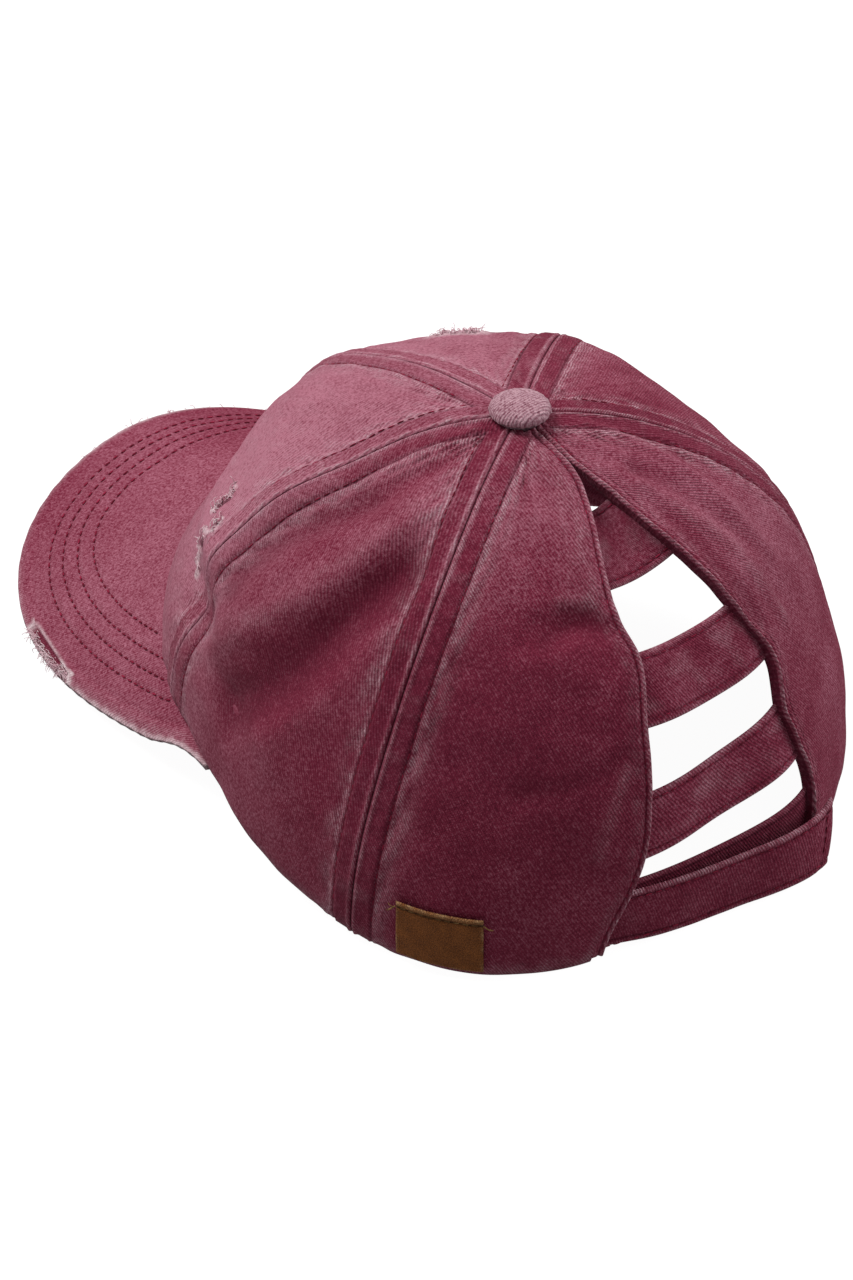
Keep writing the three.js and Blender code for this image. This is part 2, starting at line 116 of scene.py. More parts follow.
# Dents and swells of the soft crown: angle from the front and share of the way down, half widths in
# degrees and share, turn in degrees, depth as a share of the crown's height
FOLDS = (
    # angle, share, half_angle, half_share, turn, depth
    (0, 0.78, 45, 0.26, 0, -0.158),
    (35, 0.62, 30, 0.2, 0, -0.031),
    (-35, 0.66, 30, 0.2, 0, -0.024),
    (54, 0.8, 13, 0.08, 0, -0.05),
    (44, 0.7, 18, 0.09, 0, 0.03),
    (50, 0.33, 22, 0.14, 0, -0.036),
    (68, 0.98, 16, 0.14, 0, -0.021),
    (128, 0.98, 24, 0.17, 0, 0.059),
    (-150, 0.8, 24, 0.2, 0, -0.034),
    (176, 1, 16, 0.18, 0, -0.024),
    (-165, 1, 12, 0.12, 0, 0.025),
    (-62, 0.46, 18, 0.14, 0, 0.025),
    (-14, 0.34, 22, 0.12, 0, -0.023),
    (150, 0.5, 13, 0.05, -8, -0.022),
    (76.5, 0.36, 8, 0.24, 39, -0.03),
    (94, 0.6, 7, 0.22, 37, -0.026),
)

# Small wrinkles that the frame leaves out, in the same columns
WRINKLES = (
    # angle, share, half_angle, half_share, turn, depth
    (61, 0.42, 3.2, 0.26, 10, -0.012),
    (86, 0.3, 4.5, 0.16, 40, 0.01),
    (103, 0.5, 4, 0.16, 36, 0.009),
    (70, 0.66, 5, 0.13, 44, 0.008),
    (150, 0.465, 9, 0.028, -6, 0.008),
    (149, 0.535, 9, 0.03, -10, 0.008),
    (-138, 0.42, 3.4, 0.22, 20, 0.012),
    (-131, 0.46, 4, 0.22, 20, -0.009),
    (-124, 0.7, 5, 0.18, 14, 0.007),
    (20, 0.5, 6, 0.2, -20, 0.006),
    (-20, 0.45, 7, 0.2, 24, -0.006),
    (8, 0.66, 4, 0.22, 6, -0.006),
    (135, 0.76, 9, 0.05, 24, -0.006),
    (-152, 0.62, 8, 0.04, 18, -0.006),
    (-108, 0.67, 10, 0.12, 0, 0.013),
    (-132, 0.94, 12, 0.14, 0, 0.013),
    (82, 1, 14, 0.1, 0, 0.007),
    (-154, 1, 9, 0.1, 0, -0.009),
    (153, 1, 6, 0.06, 0, -0.017),
)

# Creases and ridges: angle and share points along each, half width and height in millimetres, and
# how much darker the cloth is painted there, as painted shade; a negative last number is paler cloth,
# a painted highlight on the ridge
CREASES = (
    (((71, 0.36), (68, 0.43), (65, 0.51), (62.5, 0.61), (63, 0.68)), 5.5, -1.9, 0.7),
    (
        ((104, 0.44), (99, 0.49), (95.5, 0.55), (92, 0.63), (89, 0.69), (83, 0.77), (75, 0.85)),
        7.5,
        -3.0,
        1.15,
    ),
    (((99, 0.32), (90.5, 0.45), (84.5, 0.56), (77, 0.66), (64, 0.82)), 5, 1.6, -0.6),
    (((107, 0.54), (100.5, 0.655), (96, 0.72), (87, 0.84)), 6, 0.9, -0.3),
    (((-157, 0.33), (-155, 0.43), (-152, 0.5), (-151.8, 0.6), (-151.8, 0.67)), 2.6, 0.9, -0.7),
    (((-148, 0.3), (-147, 0.42), (-145, 0.52), (-143, 0.6)), 3, -0.7, 0.4),
    (((-152, 0.31), (-160, 0.4), (-161.5, 0.48), (-160.5, 0.57), (-160, 0.64)), 3, -0.9, 0.5),
    (((158.8, 0.17), (163, 0.24), (161.5, 0.32), (159, 0.4), (159, 0.46)), 3.5, 0.5, -0.6),
    (((150, 0.46), (157, 0.472), (163, 0.5)), 2.2, 0.6, -0.7),
    (((145, 0.53), (153, 0.505), (160, 0.52)), 2.6, -0.8, 0.45),
    (((138.5, 0.771), (145.2, 0.759), (152.5, 0.75), (157, 0.725)), 2.6, -0.5, 0.3),
    (((151, 0.86), (154.5, 0.8), (157.5, 0.74)), 1.6, 0.3, -0.8),
)

# Seams and edges: share of the way down and angle there
SEAM_FRONT = ((0, 0), (1, 0))
SEAM_FRONT_LEFT = ((0, 54), (1, 54))
SEAM_FRONT_RIGHT = ((0, -54), (1, -54))
SEAM_BACK_LEFT = ((0, 117), (0.4, 116.5), (0.7, 114), (1, 110.5))
SEAM_BACK_RIGHT = ((0, -116), (1, -116))
OPENING_LEFT = (
    (0, 180), (0.2, 180), (0.25, 178), (0.32, 172.2), (0.4, 166.9), (0.5, 164.4), (0.58, 165.9),
    (0.68, 163.5), (0.8, 161.7), (0.9, 158.7), (1, 152),
)
OPENING_RIGHT = (
    (0, -180), (0.2, -180), (0.25, -177.5), (0.3, -174.5), (0.4, -171), (0.5, -167.3), (0.6, -164.8),
    (0.69, -162.2), (0.78, -164.9), (0.86, -163.3), (0.92, -162.5), (1, -168),
)
SEAMS = (SEAM_FRONT, SEAM_FRONT_LEFT, SEAM_FRONT_RIGHT, SEAM_BACK_LEFT, SEAM_BACK_RIGHT)

# Ladder straps: share where the middle meets the left and the right edge, and width
LADDER_STRAPS = ((0.384, 0.376, 1.22), (0.631, 0.639, 1.05), (0.846, 0.822, 0.99))

# Panels: name, first and second edge, and whether each edge lies along the opening
PANELS = (
    ("panel_front_left", SEAM_FRONT, SEAM_FRONT_LEFT, False, False),
    ("panel_front_right", SEAM_FRONT_RIGHT, SEAM_FRONT, False, False),
    ("panel_side_left", SEAM_FRONT_LEFT, SEAM_BACK_LEFT, False, False),
    ("panel_side_right", SEAM_BACK_RIGHT, SEAM_FRONT_RIGHT, False, False),
    ("panel_back_left", SEAM_BACK_LEFT, OPENING_LEFT, False, True),
    ("panel_back_right", OPENING_RIGHT, SEAM_BACK_RIGHT, True, False),
)

# Paler and darker places, partly washed-out dye and partly painted light and painted shade: angle,
# share, half widths and strength; a negative strength keeps the dye and darkens the cloth as painted shade
FADE_AND_PAINTED_LIGHT_SPOTS = (
    (34, 0.55, 26, 0.25, 0.6),
    (43, 0.68, 16, 0.16, 0.9),
    (-35, 0.3, 30, 0.2, 0.15),
    (-112, 0.3, 26, 0.2, -0.6),
    (0, 0.8, 40, 0.3, 0.3),
    (120, 0.3, 26, 0.16, 0.45),
    (-138, 0.62, 24, 0.34, 0.55),
    (80, 0.95, 24, 0.16, 0.4),
    (143, 0.56, 20, 0.2, -0.45),
)

# Torn slits on the front left panel, and their worn spot on the front right one: angle and share points
SLITS = (
    ((39.2, 0.585), (41.2, 0.606), (41.2, 0.63), (42, 0.66)),
    ((47, 0.63), (47.6, 0.652), (46.4, 0.686), (46, 0.725), (43.6, 0.784), (44.5, 0.82)),
)
ABRASION = ((-23, 0.415), (-28, 0.42), (-33, 0.41))

# Visor: stitch rows as distances in from the edge, and the slit beside the edge as x, y points
VISOR_ROWS = (10.5, 15, 19.8, 25)
VISOR_SLIT_FROM = (67, -120.8)
VISOR_SLIT_TO = (73.8, -98.6)
VISOR_SLIT_INSET = 3.2

SEAM_HALF_BAND = 5.8
TWILL_ANGLE = -60

# Rough lengths in millimetres, which give the unevenness of the cloth its size
CROWN_LINE = 150
RIM_DEGREE = 1.4
LADDER_STRAP_LENGTH = 50
CLOSURE_LENGTH = 88
TAB_LENGTH = 76
SWEATBAND_LENGTH = 480

# The way down the crown: degrees from the button to the rim, the share near the button where the
# seams part, the line's length along a slit, and a distance for places that a measure leaves out
DEGREES_DOWN = 90
NEAR_TOP_SHARE = 0.03
SLIT_LINE = 1.4 * CROWN_HEIGHT
FAR_AWAY = 200

# Panel columns: width of the close columns beside a seam, and the most that they take of the panel
SEAM_COLUMNS = 9.5
SEAM_COLUMNS_SHARE = 0.36
PANEL_TURNED_EDGE = 0.9

# Button, in millimetres
WASHER_RADIUS = 4.3
WASHER_WAIST_RADIUS = 4.5
WASHER_WAIST = 0.3
WASHER_THICKNESS = 0.8
SHANK_RADIUS = 1.6
BUTTON_HEIGHT = 4.7
BUTTON_DOME = 3.1
BUTTON_BELLY = 1.6
BUTTON_UNDERCUT = 1.3
BUTTON_STEPS = 16

# Visor rows: where its upper and its under face end round the section
VISOR_TOP_END = 0.66
VISOR_UNDER_END = 0.97
VISOR_EDGE_ROWS = 0.88
VISOR_EDGE_DEPTH = 0.95
VISOR_THIN_FROM = 7

# Loose threads: how many at each tear
SLIT_THREADS = 44
ABRASION_THREADS = 120
VISOR_SLIT_THREADS = 170
VISOR_TIP_THREADS = 60

# Colours that stay with their material
SHEEN_TINT = (1, 0.86, 0.9, 1)
LEATHER_RUBBED = (0.42, 0.26, 0.13, 1)
LEATHER_GROOVE = (0.03, 0.012, 0.006, 1)
PATCH_THREAD_DARK = (0.1, 0.05, 0.02)
PATCH_THREAD_LIGHT = (0.3, 0.18, 0.07)
FLOOR_GREY = (0.16, 0.16, 0.16, 1)
WHITE = (1, 1, 1, 1)

# Lights: name, direction from the cap, distance and size in metres, colour
KEY_LIGHT = ("key", (0.27, -0.5, 0.85), 1.3, 0.6, (1, 0.985, 0.97))
SIDE_LIGHT = ("side", (-0.85, 0.35, 0.5), 1.4, 0.8, (1, 1, 1))
LIT_HEIGHT = 0.05

# Stitch lines: distance from the edge of the ladder straps, the closure and its end
LADDER_STITCH_MARGIN = 2.0
CLOSURE_STITCH_MARGIN = 1.7
CLOSURE_END_STITCHES = 4.2

# Camera
CAMERA_AZIMUTH = 137.5
CAMERA_ELEVATION = 36
CAMERA_DISTANCE = 1.04
CAMERA_TARGET_HEIGHT = 0.062
CAMERA_SHIFT_RIGHT = -0.02154
CAMERA_SHIFT_UP = -0.02135
CAMERA_LENS = 114.75
CAMERA_SENSOR_WIDTH = 36


# Numbers and shapes of the crown
def smooth(value, low, high):
    s = np.clip((np.asarray(value, float) - low) / (high - low), 0, 1)
    return s * s * (3 - 2 * s)


def bell(value, middle, half_width):
    return np.exp(-((value - middle) / half_width) ** 2)


def ripple(x, y, wavelength, seed):
    """Even, fixed unevenness between about -1 and 1, from a few crossing waves."""
    draw = np.random.default_rng(seed)
    total = 0
    for _ in range(6):
        turn = draw.uniform(0, 2 * math.pi)
        pace = 2 * math.pi / (wavelength * draw.uniform(0.7, 1.5))
        phase = draw.uniform(0, 2 * math.pi)
        total = total + np.sin((x * math.cos(turn) + y * math.sin(turn)) * pace + phase)
    return total / 3


def angle_at(table, share):
    """Angle of a seam or edge at a share, on the smooth curve through its table."""
    rows = np.array(table, float)
    shares, angles = rows[:, 0], rows[:, 1]
    slopes = np.diff(angles) / np.diff(shares)
    row = np.clip(np.searchsorted(shares, share, side="left") - 1, 0, len(slopes) - 1)
    before = np.where(row > 0, (slopes[np.maximum(row - 1, 0)] + slopes[row]) / 2, slopes[row])
    last = len(slopes) - 1
    after = np.where(row < last, (slopes[row] + slopes[np.minimum(row + 1, last)]) / 2, slopes[row])
    span = shares[row + 1] - shares[row]
    s = (share - shares[row]) / span
    return (
        angles[row] * (1 + 2 * s) * (1 - s) ** 2
        + before * span * s * (1 - s) ** 2
        + angles[row + 1] * s * s * (3 - 2 * s)
        + after * span * s * s * (s - 1)
    )


def away_from(angle, middle):
    return (angle - middle + 180) % 360 - 180


def rim_radius(angle):
    c = np.cos(np.radians(angle))
    reach = np.where(c > 0, CROWN_FRONT_REACH, CROWN_BACK_REACH)
    return 1 / np.hypot(np.sin(np.radians(angle)) / CROWN_HALF_WIDTH, c / reach)


def rim_height(angle):
    frontness = 0.5 + 0.5 * np.cos(np.radians(angle))
    raised = np.maximum(0, (frontness - RIM_RESTING_SHARE) / (1 - RIM_RESTING_SHARE))
    return RIM_FRONT_LIFT * raised**RIM_LIFT_POWER


def profile_power(angle):
    frontness = 0.5 + 0.5 * np.cos(np.radians(angle))
    return BACK_PROFILE_POWER + (FRONT_PROFILE_POWER - BACK_PROFILE_POWER) * frontness


def spots(table, angle, share):
    """Sum of a table's soft spots; its last column is each spot's strength."""
    total = 0
    for middle, middle_share, half_angle, half_share, turn, strength in table:
        away = away_from(angle, middle)
        down = (share - middle_share) * DEGREES_DOWN
        c, s = math.cos(math.radians(turn)), math.sin(math.radians(turn))
        across = (away * c + down * s) / half_angle
        along = (down * c - away * s) / (half_share * DEGREES_DOWN)
        total = total + strength * np.exp(-across * across - along * along)
    return total


def crown_point(angle, share, offset=0.0, wrinkled=True):
    """Points on the crown's outside in millimetres, or a given offset outside it."""
    angle, share = np.broadcast_arrays(np.asarray(angle, float), np.asarray(share, float))
    slope = np.radians(DEGREES_DOWN * share)
    c, s = np.cos(np.radians(angle)), np.sin(np.radians(angle))
    spread = np.sin(slope) ** (2 / profile_power(angle))
    rise = np.maximum(0, np.cos(slope)) ** (2 / RISE_PROFILE_POWER)
    radius = rim_radius(angle) * spread
    bottom = rim_height(angle)
    depth = spots(FOLDS, angle, share)
    if wrinkled:
        depth = depth + spots(WRINKLES, angle, share) * smooth(share, 0.12, 0.25)
    out = offset + depth * CROWN_HEIGHT
    return np.stack(
        [
            radius * s + out * s * np.sin(slope),
            CROWN_TOP_BACKSET * (1 - spread) - radius * c - out * c * np.sin(slope),
            bottom + (CROWN_HEIGHT - bottom) * rise + out * np.where(share < 1, np.cos(slope), 0),
        ],
        -1,
    )


def crown_normal(angle, share):
    out = crown_point(angle, share, 1.0) - crown_point(angle, share)
    return out / np.linalg.norm(out, axis=-1, keepdims=True)


def mm_per_degree(angle, share):
    point = crown_point(angle, share, wrinkled=False)
    return np.hypot(point[..., 0], point[..., 1] - CROWN_TOP_BACKSET) * math.pi / 180


def mm_down(angle, share):
    """Length along the cloth from the button to a share."""
    steps = np.linspace(0.0, 1, 81)
    middle = np.atleast_1d(angle).mean()
    line = crown_point(middle, steps, wrinkled=False)
    lengths = np.concatenate([[0], np.cumsum(np.linalg.norm(np.diff(line, axis=0), axis=1))])
    return np.interp(share, steps, lengths)


def share_at_height(angle, height):
    rise = height / (CROWN_HEIGHT - rim_height(angle))
    return np.arccos(np.minimum(1, rise ** (RISE_PROFILE_POWER / 2))) / (math.pi / 2)


def share_at_radius(angle, distance):
    return np.arcsin((distance / rim_radius(angle)) ** (profile_power(angle) / 2)) / (math.pi / 2)


def seam_distance(angle, share):
    """Millimetres to the nearest sewn seam."""
    scale = mm_per_degree(angle, share)
    gaps = [np.abs(away_from(angle, angle_at(seam, share))) * scale for seam in SEAMS]
    below = FAR_AWAY * smooth(share, HEM_TOP_SHARE, HEM_TOP_SHARE + 0.05)
    top = np.abs(away_from(angle, 180)) * scale + below
    return np.minimum.reduce(gaps + [top])


def opening_distance(angle, share):
    """Millimetres from the edge of the split back, where there is one."""
    scale = mm_per_degree(angle, share)
    left = np.abs(away_from(angle, angle_at(OPENING_LEFT, share))) * scale
    right = np.abs(away_from(angle, angle_at(OPENING_RIGHT, share))) * scale
    above = FAR_AWAY * (1 - smooth(share, HEM_TOP_SHARE - 0.03, HEM_TOP_SHARE))
    return np.minimum(left, right) + above


def slit_gap(angle, share, points):
    """Millimetres to a torn slit, and how far along it from 0 to 1."""
    scale, down = mm_per_degree(angle, share), SLIT_LINE
    best, where = np.full(np.shape(angle), 1e3), np.zeros(np.shape(angle))
    pieces = len(points) - 1
    for index in range(pieces):
        (a0, s0), (a1, s1) = points[index], points[index + 1]
        bx, by = (a1 - a0) * scale, (s1 - s0) * down
        px, py = (angle - a0) * scale, (share - s0) * down
        t = np.clip((px * bx + py * by) / (bx * bx + by * by), 0, 1)
        gap = np.hypot(px - t * bx, py - t * by)
        where = np.where(gap < best, (index + t) / pieces, where)
        best = np.minimum(gap, best)
    return best, where


def crease_marks(angle, share):
    """Depth in millimetres of the creases and ridges, and their painted shade: darker in a crease, paler on
    a ridge.
    """
    depth, shade = 0, 0
    for points, half_width, deep, dark in CREASES:
        gap, _ = slit_gap(angle, share, points)
        near = bell(gap, 0, half_width)
        depth = depth + deep * near
        shade = shade + dark * near
    return depth, shade


def cloth_relief(angle, share):
    """Height of the sewn cloth above the plain crown, in millimetres."""
    seam = seam_distance(angle, share)
    down = share * CROWN_LINE
    around = angle * RIM_DEGREE
    band = 0.62 * (1 - smooth(seam, 5.2, 7.4))
    ridge = 0.34 * bell(seam, 0.95, 0.5) - 0.3 * bell(seam, 0, 0.28)
    line = -0.5 * bell(seam, SEAM_HALF_BAND, 0.42)
    pucker = 0.3 * ripple(around, down, 7, 3) * bell(seam, 8.2, 2.4)
    on_band = (1 - smooth(seam, 4.4, 5.6)) * smooth(seam, 0.4, 2)
    pucker = pucker + 0.26 * ripple(angle * 0.3, down, 6, 4) * on_band
    soft = 0.32 * ripple(around, down, 26, 5) * smooth(seam, 7, 14) * smooth(share, 0.1, 0.25)
    soft = soft + 0.12 * ripple(around, down, 11, 6) * smooth(seam, 7, 12)
    creased = crease_marks(angle, share)[0] * smooth(seam, 2, 7)
    tear = 0
    for points in SLITS:
        gap, _ = slit_gap(angle, share, points)
        tear = tear - 0.8 * (1 - smooth(gap, 0.2, 0.5)) + 0.4 * bell(gap, 0.85, 0.35)
    gap, _ = slit_gap(angle, share, ABRASION)
    tear = tear + 0.9 * bell(gap, 0, 3) * (0.7 + 0.5 * ripple(around, down, 3, 14))
    return band + ridge + line + pucker + soft + creased + tear


def cloth_finish(angle, share):
    """Worn, stitched, faded and torn amounts from 0 to 1, for the cloth's material; painted shade and
    painted highlights are mixed into them.
    """
    seam = seam_distance(angle, share)
    opening = opening_distance(angle, share)
    shade = crease_marks(angle, share)[1]
    down, around = share * CROWN_LINE, angle * RIM_DEGREE
    patchy = 0.5 + 0.5 * ripple(around, down, 9, 11)
    scallop = 0.5 + 0.5 * ripple(around, down, 4.5, 12)
    rim = (1 - share) * CROWN_LINE
    high = 0.55 + 0.45 * smooth(-share, -0.75, -0.35)
    worn = 1.1 * bell(seam, 0.9, 0.45) * (0.3 + 0.7 * patchy) * high
    worn = worn + 1.3 * high * bell(seam, 6.9, 0.75) * (0.2 + 0.95 * scallop)
    worn = worn + 0.5 * bell(seam, 8.8, 2) * patchy
    crossed = np.clip(ripple(angle * 0.3, down, 6, 4) - 0.4, 0, 1)
    worn = worn + 0.35 * (1 - smooth(seam, 4.4, 5.4)) * crossed
    bare_rim = 1 - 0.9 * smooth(np.cos(np.radians(angle)), 0.3, 0.45)
    worn = worn + 0.25 * bell(opening, 4.4, 1.2) * scallop
    worn = worn + 0.8 * bell(rim, 0, 1.1) * (0.3 + 0.7 * scallop) * bare_rim
    # Painted highlight: paler cloth on the crease ridges
    worn = worn + 0.5 * np.clip(-shade, 0, 1) * (0.3 + 0.7 * patchy)
    stitched = 0.8 * bell(seam, SEAM_HALF_BAND, 0.3) + 0.85 * bell(seam, 0, 0.24)
    # Painted shade: darker cloth in the creases
    stitched = stitched + 0.42 * np.clip(shade, 0, 1) * smooth(seam, 3, 7)
    banded = (1 - smooth(seam, 4.9, 5.7)) * smooth(seam, 1.2, 2.0)
    # Paler towards the top and the front: partly sun-faded dye, partly painted light where the key light
    # falls from above and in front
    height = crown_point(angle, share, wrinkled=False)[..., 2]
    front = smooth(np.cos(np.radians(angle - 12)), 0.4, 0.9)
    fade = 0.01 + 0.25 * smooth(height, 45, 98) + 0.4 * front
    worn = worn + 0.34 * front * (0.35 + 0.65 * patchy) * (0.3 + 0.7 * smooth(share, 0.25, 0.5))
    # Spots of washed-out dye, and of painted light and painted shade
    for middle, middle_share, half_angle, half_share, strength in FADE_AND_PAINTED_LIGHT_SPOTS:
        spot = bell(away_from(angle, middle), 0, half_angle) * bell(share, middle_share, half_share)
        fade = fade + 0.5 * strength * spot
    fade = fade + 0.06 * ripple(around, down, 30, 13) + 0.05 * ripple(around, down, 12, 15) - 0.3 * banded
    # Darker where the fade goes below nothing: painted shade from the negative spots, and deeper dye on the
    # seam bands
    stitched = stitched + 0.9 * np.clip(-fade, 0, 1)
    torn = 0
    for points in SLITS:
        gap, _ = slit_gap(angle, share, points)
        torn = torn + bell(gap, 0.8, 0.33) * (0.6 + 0.6 * scallop)
        # Painted shade: the torn slits are darkened inside
        stitched = stitched + 1 - smooth(gap, 0.2, 0.45)
    gap, _ = slit_gap(angle, share, ABRASION)
    torn = torn + 0.9 * (1 - smooth(gap, 1, 4.5)) * (0.4 + 0.6 * scallop)
    # Painted shade in the creases also takes fade out of the cloth
    return np.clip(np.stack([worn, stitched, fade - 0.2 * np.clip(shade, 0, 1), torn], -1), 0, 1)


def cloth_point(angle, share, extra=0.0):
    return crown_point(angle, share, cloth_relief(angle, share) + extra)


# Placing: millimetres about the rim's middle to metres in the frame
button_low, button_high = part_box("button")
CROWN_MIDDLE = np.array(
    [
        (button_low.x + button_high.x) / 2,
        (button_low.y + button_high.y) / 2 - CROWN_TOP_BACKSET * MM,
        0,
    ]
)


def placed(points):
    return np.asarray(points, float) * MM + CROWN_MIDDLE


# Mesh helpers
def finished_object(name, mesh, slot, material, nodes=()):
    piece = bpy.data.objects.new(name, mesh)
    bpy.context.scene.collection.objects.link(piece)
    mesh.materials.clear()
    mesh.materials.append(material)
    mesh.shade_smooth()
    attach(piece, "root")
    if nodes:
        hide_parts(*nodes)
    return piece


def store_finish(mesh, finish):
    marks = mesh.attributes.new("finish", "FLOAT_COLOR", "POINT")
    marks.data.foreach_set("color", finish.astype(np.float32).ravel())


def grid_mesh(name, columns, rows, shape, tube=False):
    """A mesh from a grid whose corners run u and v from 0 to 1. shape gives points, UV and finish.

    A tube is closed where v runs once round, and at both ends.
    """
    bm = bmesh.new()
    bmesh.ops.create_grid(bm, x_segments=columns, y_segments=rows, size=1)
    grid = bpy.data.meshes.new(name)
    bm.to_mesh(grid)
    bm.free()
    flat = np.empty(len(grid.vertices) * 3, np.float32)
    grid.vertices.foreach_get("co", flat)
    flat = flat.reshape(-1, 3).astype(float)
    u, v = (flat[:, 0] + 1) / 2, (flat[:, 1] + 1) / 2
    points, uv, finish = shape(u, v)
    grid.vertices.foreach_set("co", placed(points).astype(np.float32).ravel())
    corner = np.empty(len(grid.loops), np.int32)
    grid.loops.foreach_get("vertex_index", corner)
    layer = grid.uv_layers.new(name="Cloth") if not grid.uv_layers else grid.uv_layers[0]
    layer.name = "Cloth"
    layer.uv.foreach_set("vector", uv[corner].astype(np.float32).ravel())
    store_finish(grid, finish)
    if tube:
        bm = bmesh.new()
        bm.from_mesh(grid)
        bmesh.ops.remove_doubles(bm, verts=bm.verts, dist=SAME_PLACE)
        bmesh.ops.holes_fill(bm, edges=[e for e in bm.edges if e.is_boundary], sides=0)
        bmesh.ops.recalc_face_normals(bm, faces=bm.faces)
        bm.to_mesh(grid)
        bm.free()
    return grid


def tube_piece(node, ending, columns, rows, shape, slot, material):
    """A closed tube that takes the place of a piece of the frame."""
    mesh = grid_mesh(node + ending, columns, rows, shape, tube=True)
    finished_object(node + ending, mesh, slot, material, [node])


def add_wall(piece, thickness):
    wall = piece.modifiers.new("Wall", "SOLIDIFY")
    wall.thickness = thickness * MM
    wall.offset = -1
    wall.use_even_offset = False


def twill_uv(x, y):
    """Millimetres on the cloth, with a twill's wale lines turned to lie along the first axis."""
    turn = math.radians(TWILL_ANGLE)
    c, s = math.cos(turn), math.sin(turn)
    return np.stack([x * c + y * s, -x * s + y * c], -1)


def plain_finish(count, worn=0.1, stitched=0.0, fade=0.4, torn=0.0):
    parts = [np.broadcast_to(np.asarray(p, float), (count,)) for p in (worn, stitched, fade, torn)]
    return np.clip(np.stack(parts, -1), 0, 1)


# Node helpers
def link_or_set(tree, socket, value):
    if isinstance(value, bpy.types.NodeSocket):
        tree.links.new(value, socket)
    else:
        socket.default_value = value


def add_node(tree, kind, inputs=(), **settings):
    node = tree.nodes.new(kind)
    for key, value in settings.items():
        setattr(node, key, value)
    for key, value in dict(inputs).items():
        link_or_set(tree, node.inputs[key], value)
    return node


def calc(tree, operation, *values, clamp=False):
    node = add_node(tree, "ShaderNodeMath", operation=operation, use_clamp=clamp)
    for index, value in enumerate(values):
        link_or_set(tree, node.inputs[index], value)
    return node.outputs[0]


def blend_colour(tree, factor, first, second):
    node = add_node(tree, "ShaderNodeMix", data_type="RGBA")
    link_or_set(tree, node.inputs[0], factor)
    link_or_set(tree, node.inputs[6], first)
    link_or_set(tree, node.inputs[7], second)
    return node.outputs[2]


def noise(tree, vector, scale, detail=2.0, roughness=0.5):
    inputs = {"Scale": scale, "Detail": detail, "Roughness": roughness}
    node = add_node(tree, "ShaderNodeTexNoise", inputs)
    tree.links.new(vector, node.inputs["Vector"])
    return node.outputs["Fac"]


def mapped(tree, value, low, high, to_low=0.0, to_high=1.0):
    inputs = {"From Min": low, "From Max": high, "To Min": to_low, "To Max": to_high}
    node = add_node(tree, "ShaderNodeMapRange", inputs, interpolation_type="SMOOTHSTEP")
    tree.links.new(value, node.inputs["Value"])
    return node.outputs["Result"]


def new_group(name, inputs, outputs):
    tree = bpy.data.node_groups.new(name, "ShaderNodeTree")
    for label, kind, default in inputs:
        socket = tree.interface.new_socket(name=label, in_out="INPUT", socket_type=kind)
        if default is not None:
            socket.default_value = default
    for label, kind in outputs:
        tree.interface.new_socket(name=label, in_out="OUTPUT", socket_type=kind)
    start = tree.nodes.new("NodeGroupInput")
    end = tree.nodes.new("NodeGroupOutput")
    return tree, start.outputs, end.inputs


FLOAT, VECTOR, COLOUR = "NodeSocketFloat", "NodeSocketVector", "NodeSocketColor"


def twill_weave_group():
    """Diagonal wales of a twill, each a row of short slanted floats. UV is in millimetres."""
    if "Twill weave" in bpy.data.node_groups:
        return bpy.data.node_groups["Twill weave"]
    inputs = (("Cloth UV", VECTOR, None), ("Wale", FLOAT, 1.0), ("Float length", FLOAT, 0.7))
    tree, given, result = new_group("Twill weave", inputs, (("Height", FLOAT), ("Light", FLOAT)))
    uv = given["Cloth UV"]
    wander = noise(tree, uv, 0.22, 2)
    fine = noise(tree, uv, 1.9, 3, 0.7)
    parts = add_node(tree, "ShaderNodeSeparateXYZ", {"Vector": uv})
    across = calc(tree, "DIVIDE", parts.outputs["Y"], given["Wale"])
    across = calc(tree, "ADD", across, calc(tree, "MULTIPLY", wander, 1.2))
    across = calc(tree, "ADD", across, calc(tree, "MULTIPLY", fine, 0.75))
    wave = calc(tree, "COSINE", calc(tree, "MULTIPLY", across, 2 * math.pi))
    wale = calc(tree, "ADD", calc(tree, "MULTIPLY", wave, 0.5), 0.5)
    row = calc(tree, "FLOOR", calc(tree, "ADD", across, 0.5))
    along = calc(tree, "DIVIDE", parts.outputs["X"], given["Float length"])
    along = calc(tree, "ADD", along, calc(tree, "MULTIPLY", row, 0.37))
    along = calc(tree, "ADD", along, calc(tree, "MULTIPLY", across, 0.5))
    floats = calc(tree, "ABSOLUTE", calc(tree, "SINE", calc(tree, "MULTIPLY", along, math.pi)))
    floats = calc(tree, "POWER", floats, 0.6)
    height = calc(tree, "MULTIPLY", wale, calc(tree, "ADD", calc(tree, "MULTIPLY", floats, 0.55), 0.45))
    height = calc(tree, "ADD", height, calc(tree, "MULTIPLY", fine, 0.5))
    tree.links.new(height, result["Height"])
    lit = mapped(tree, noise(tree, uv, 1.3, 3, 0.7), 0.3, 0.7, 0.35, 1.4)
    tree.links.new(calc(tree, "MULTIPLY", height, lit), result["Light"])
    return tree


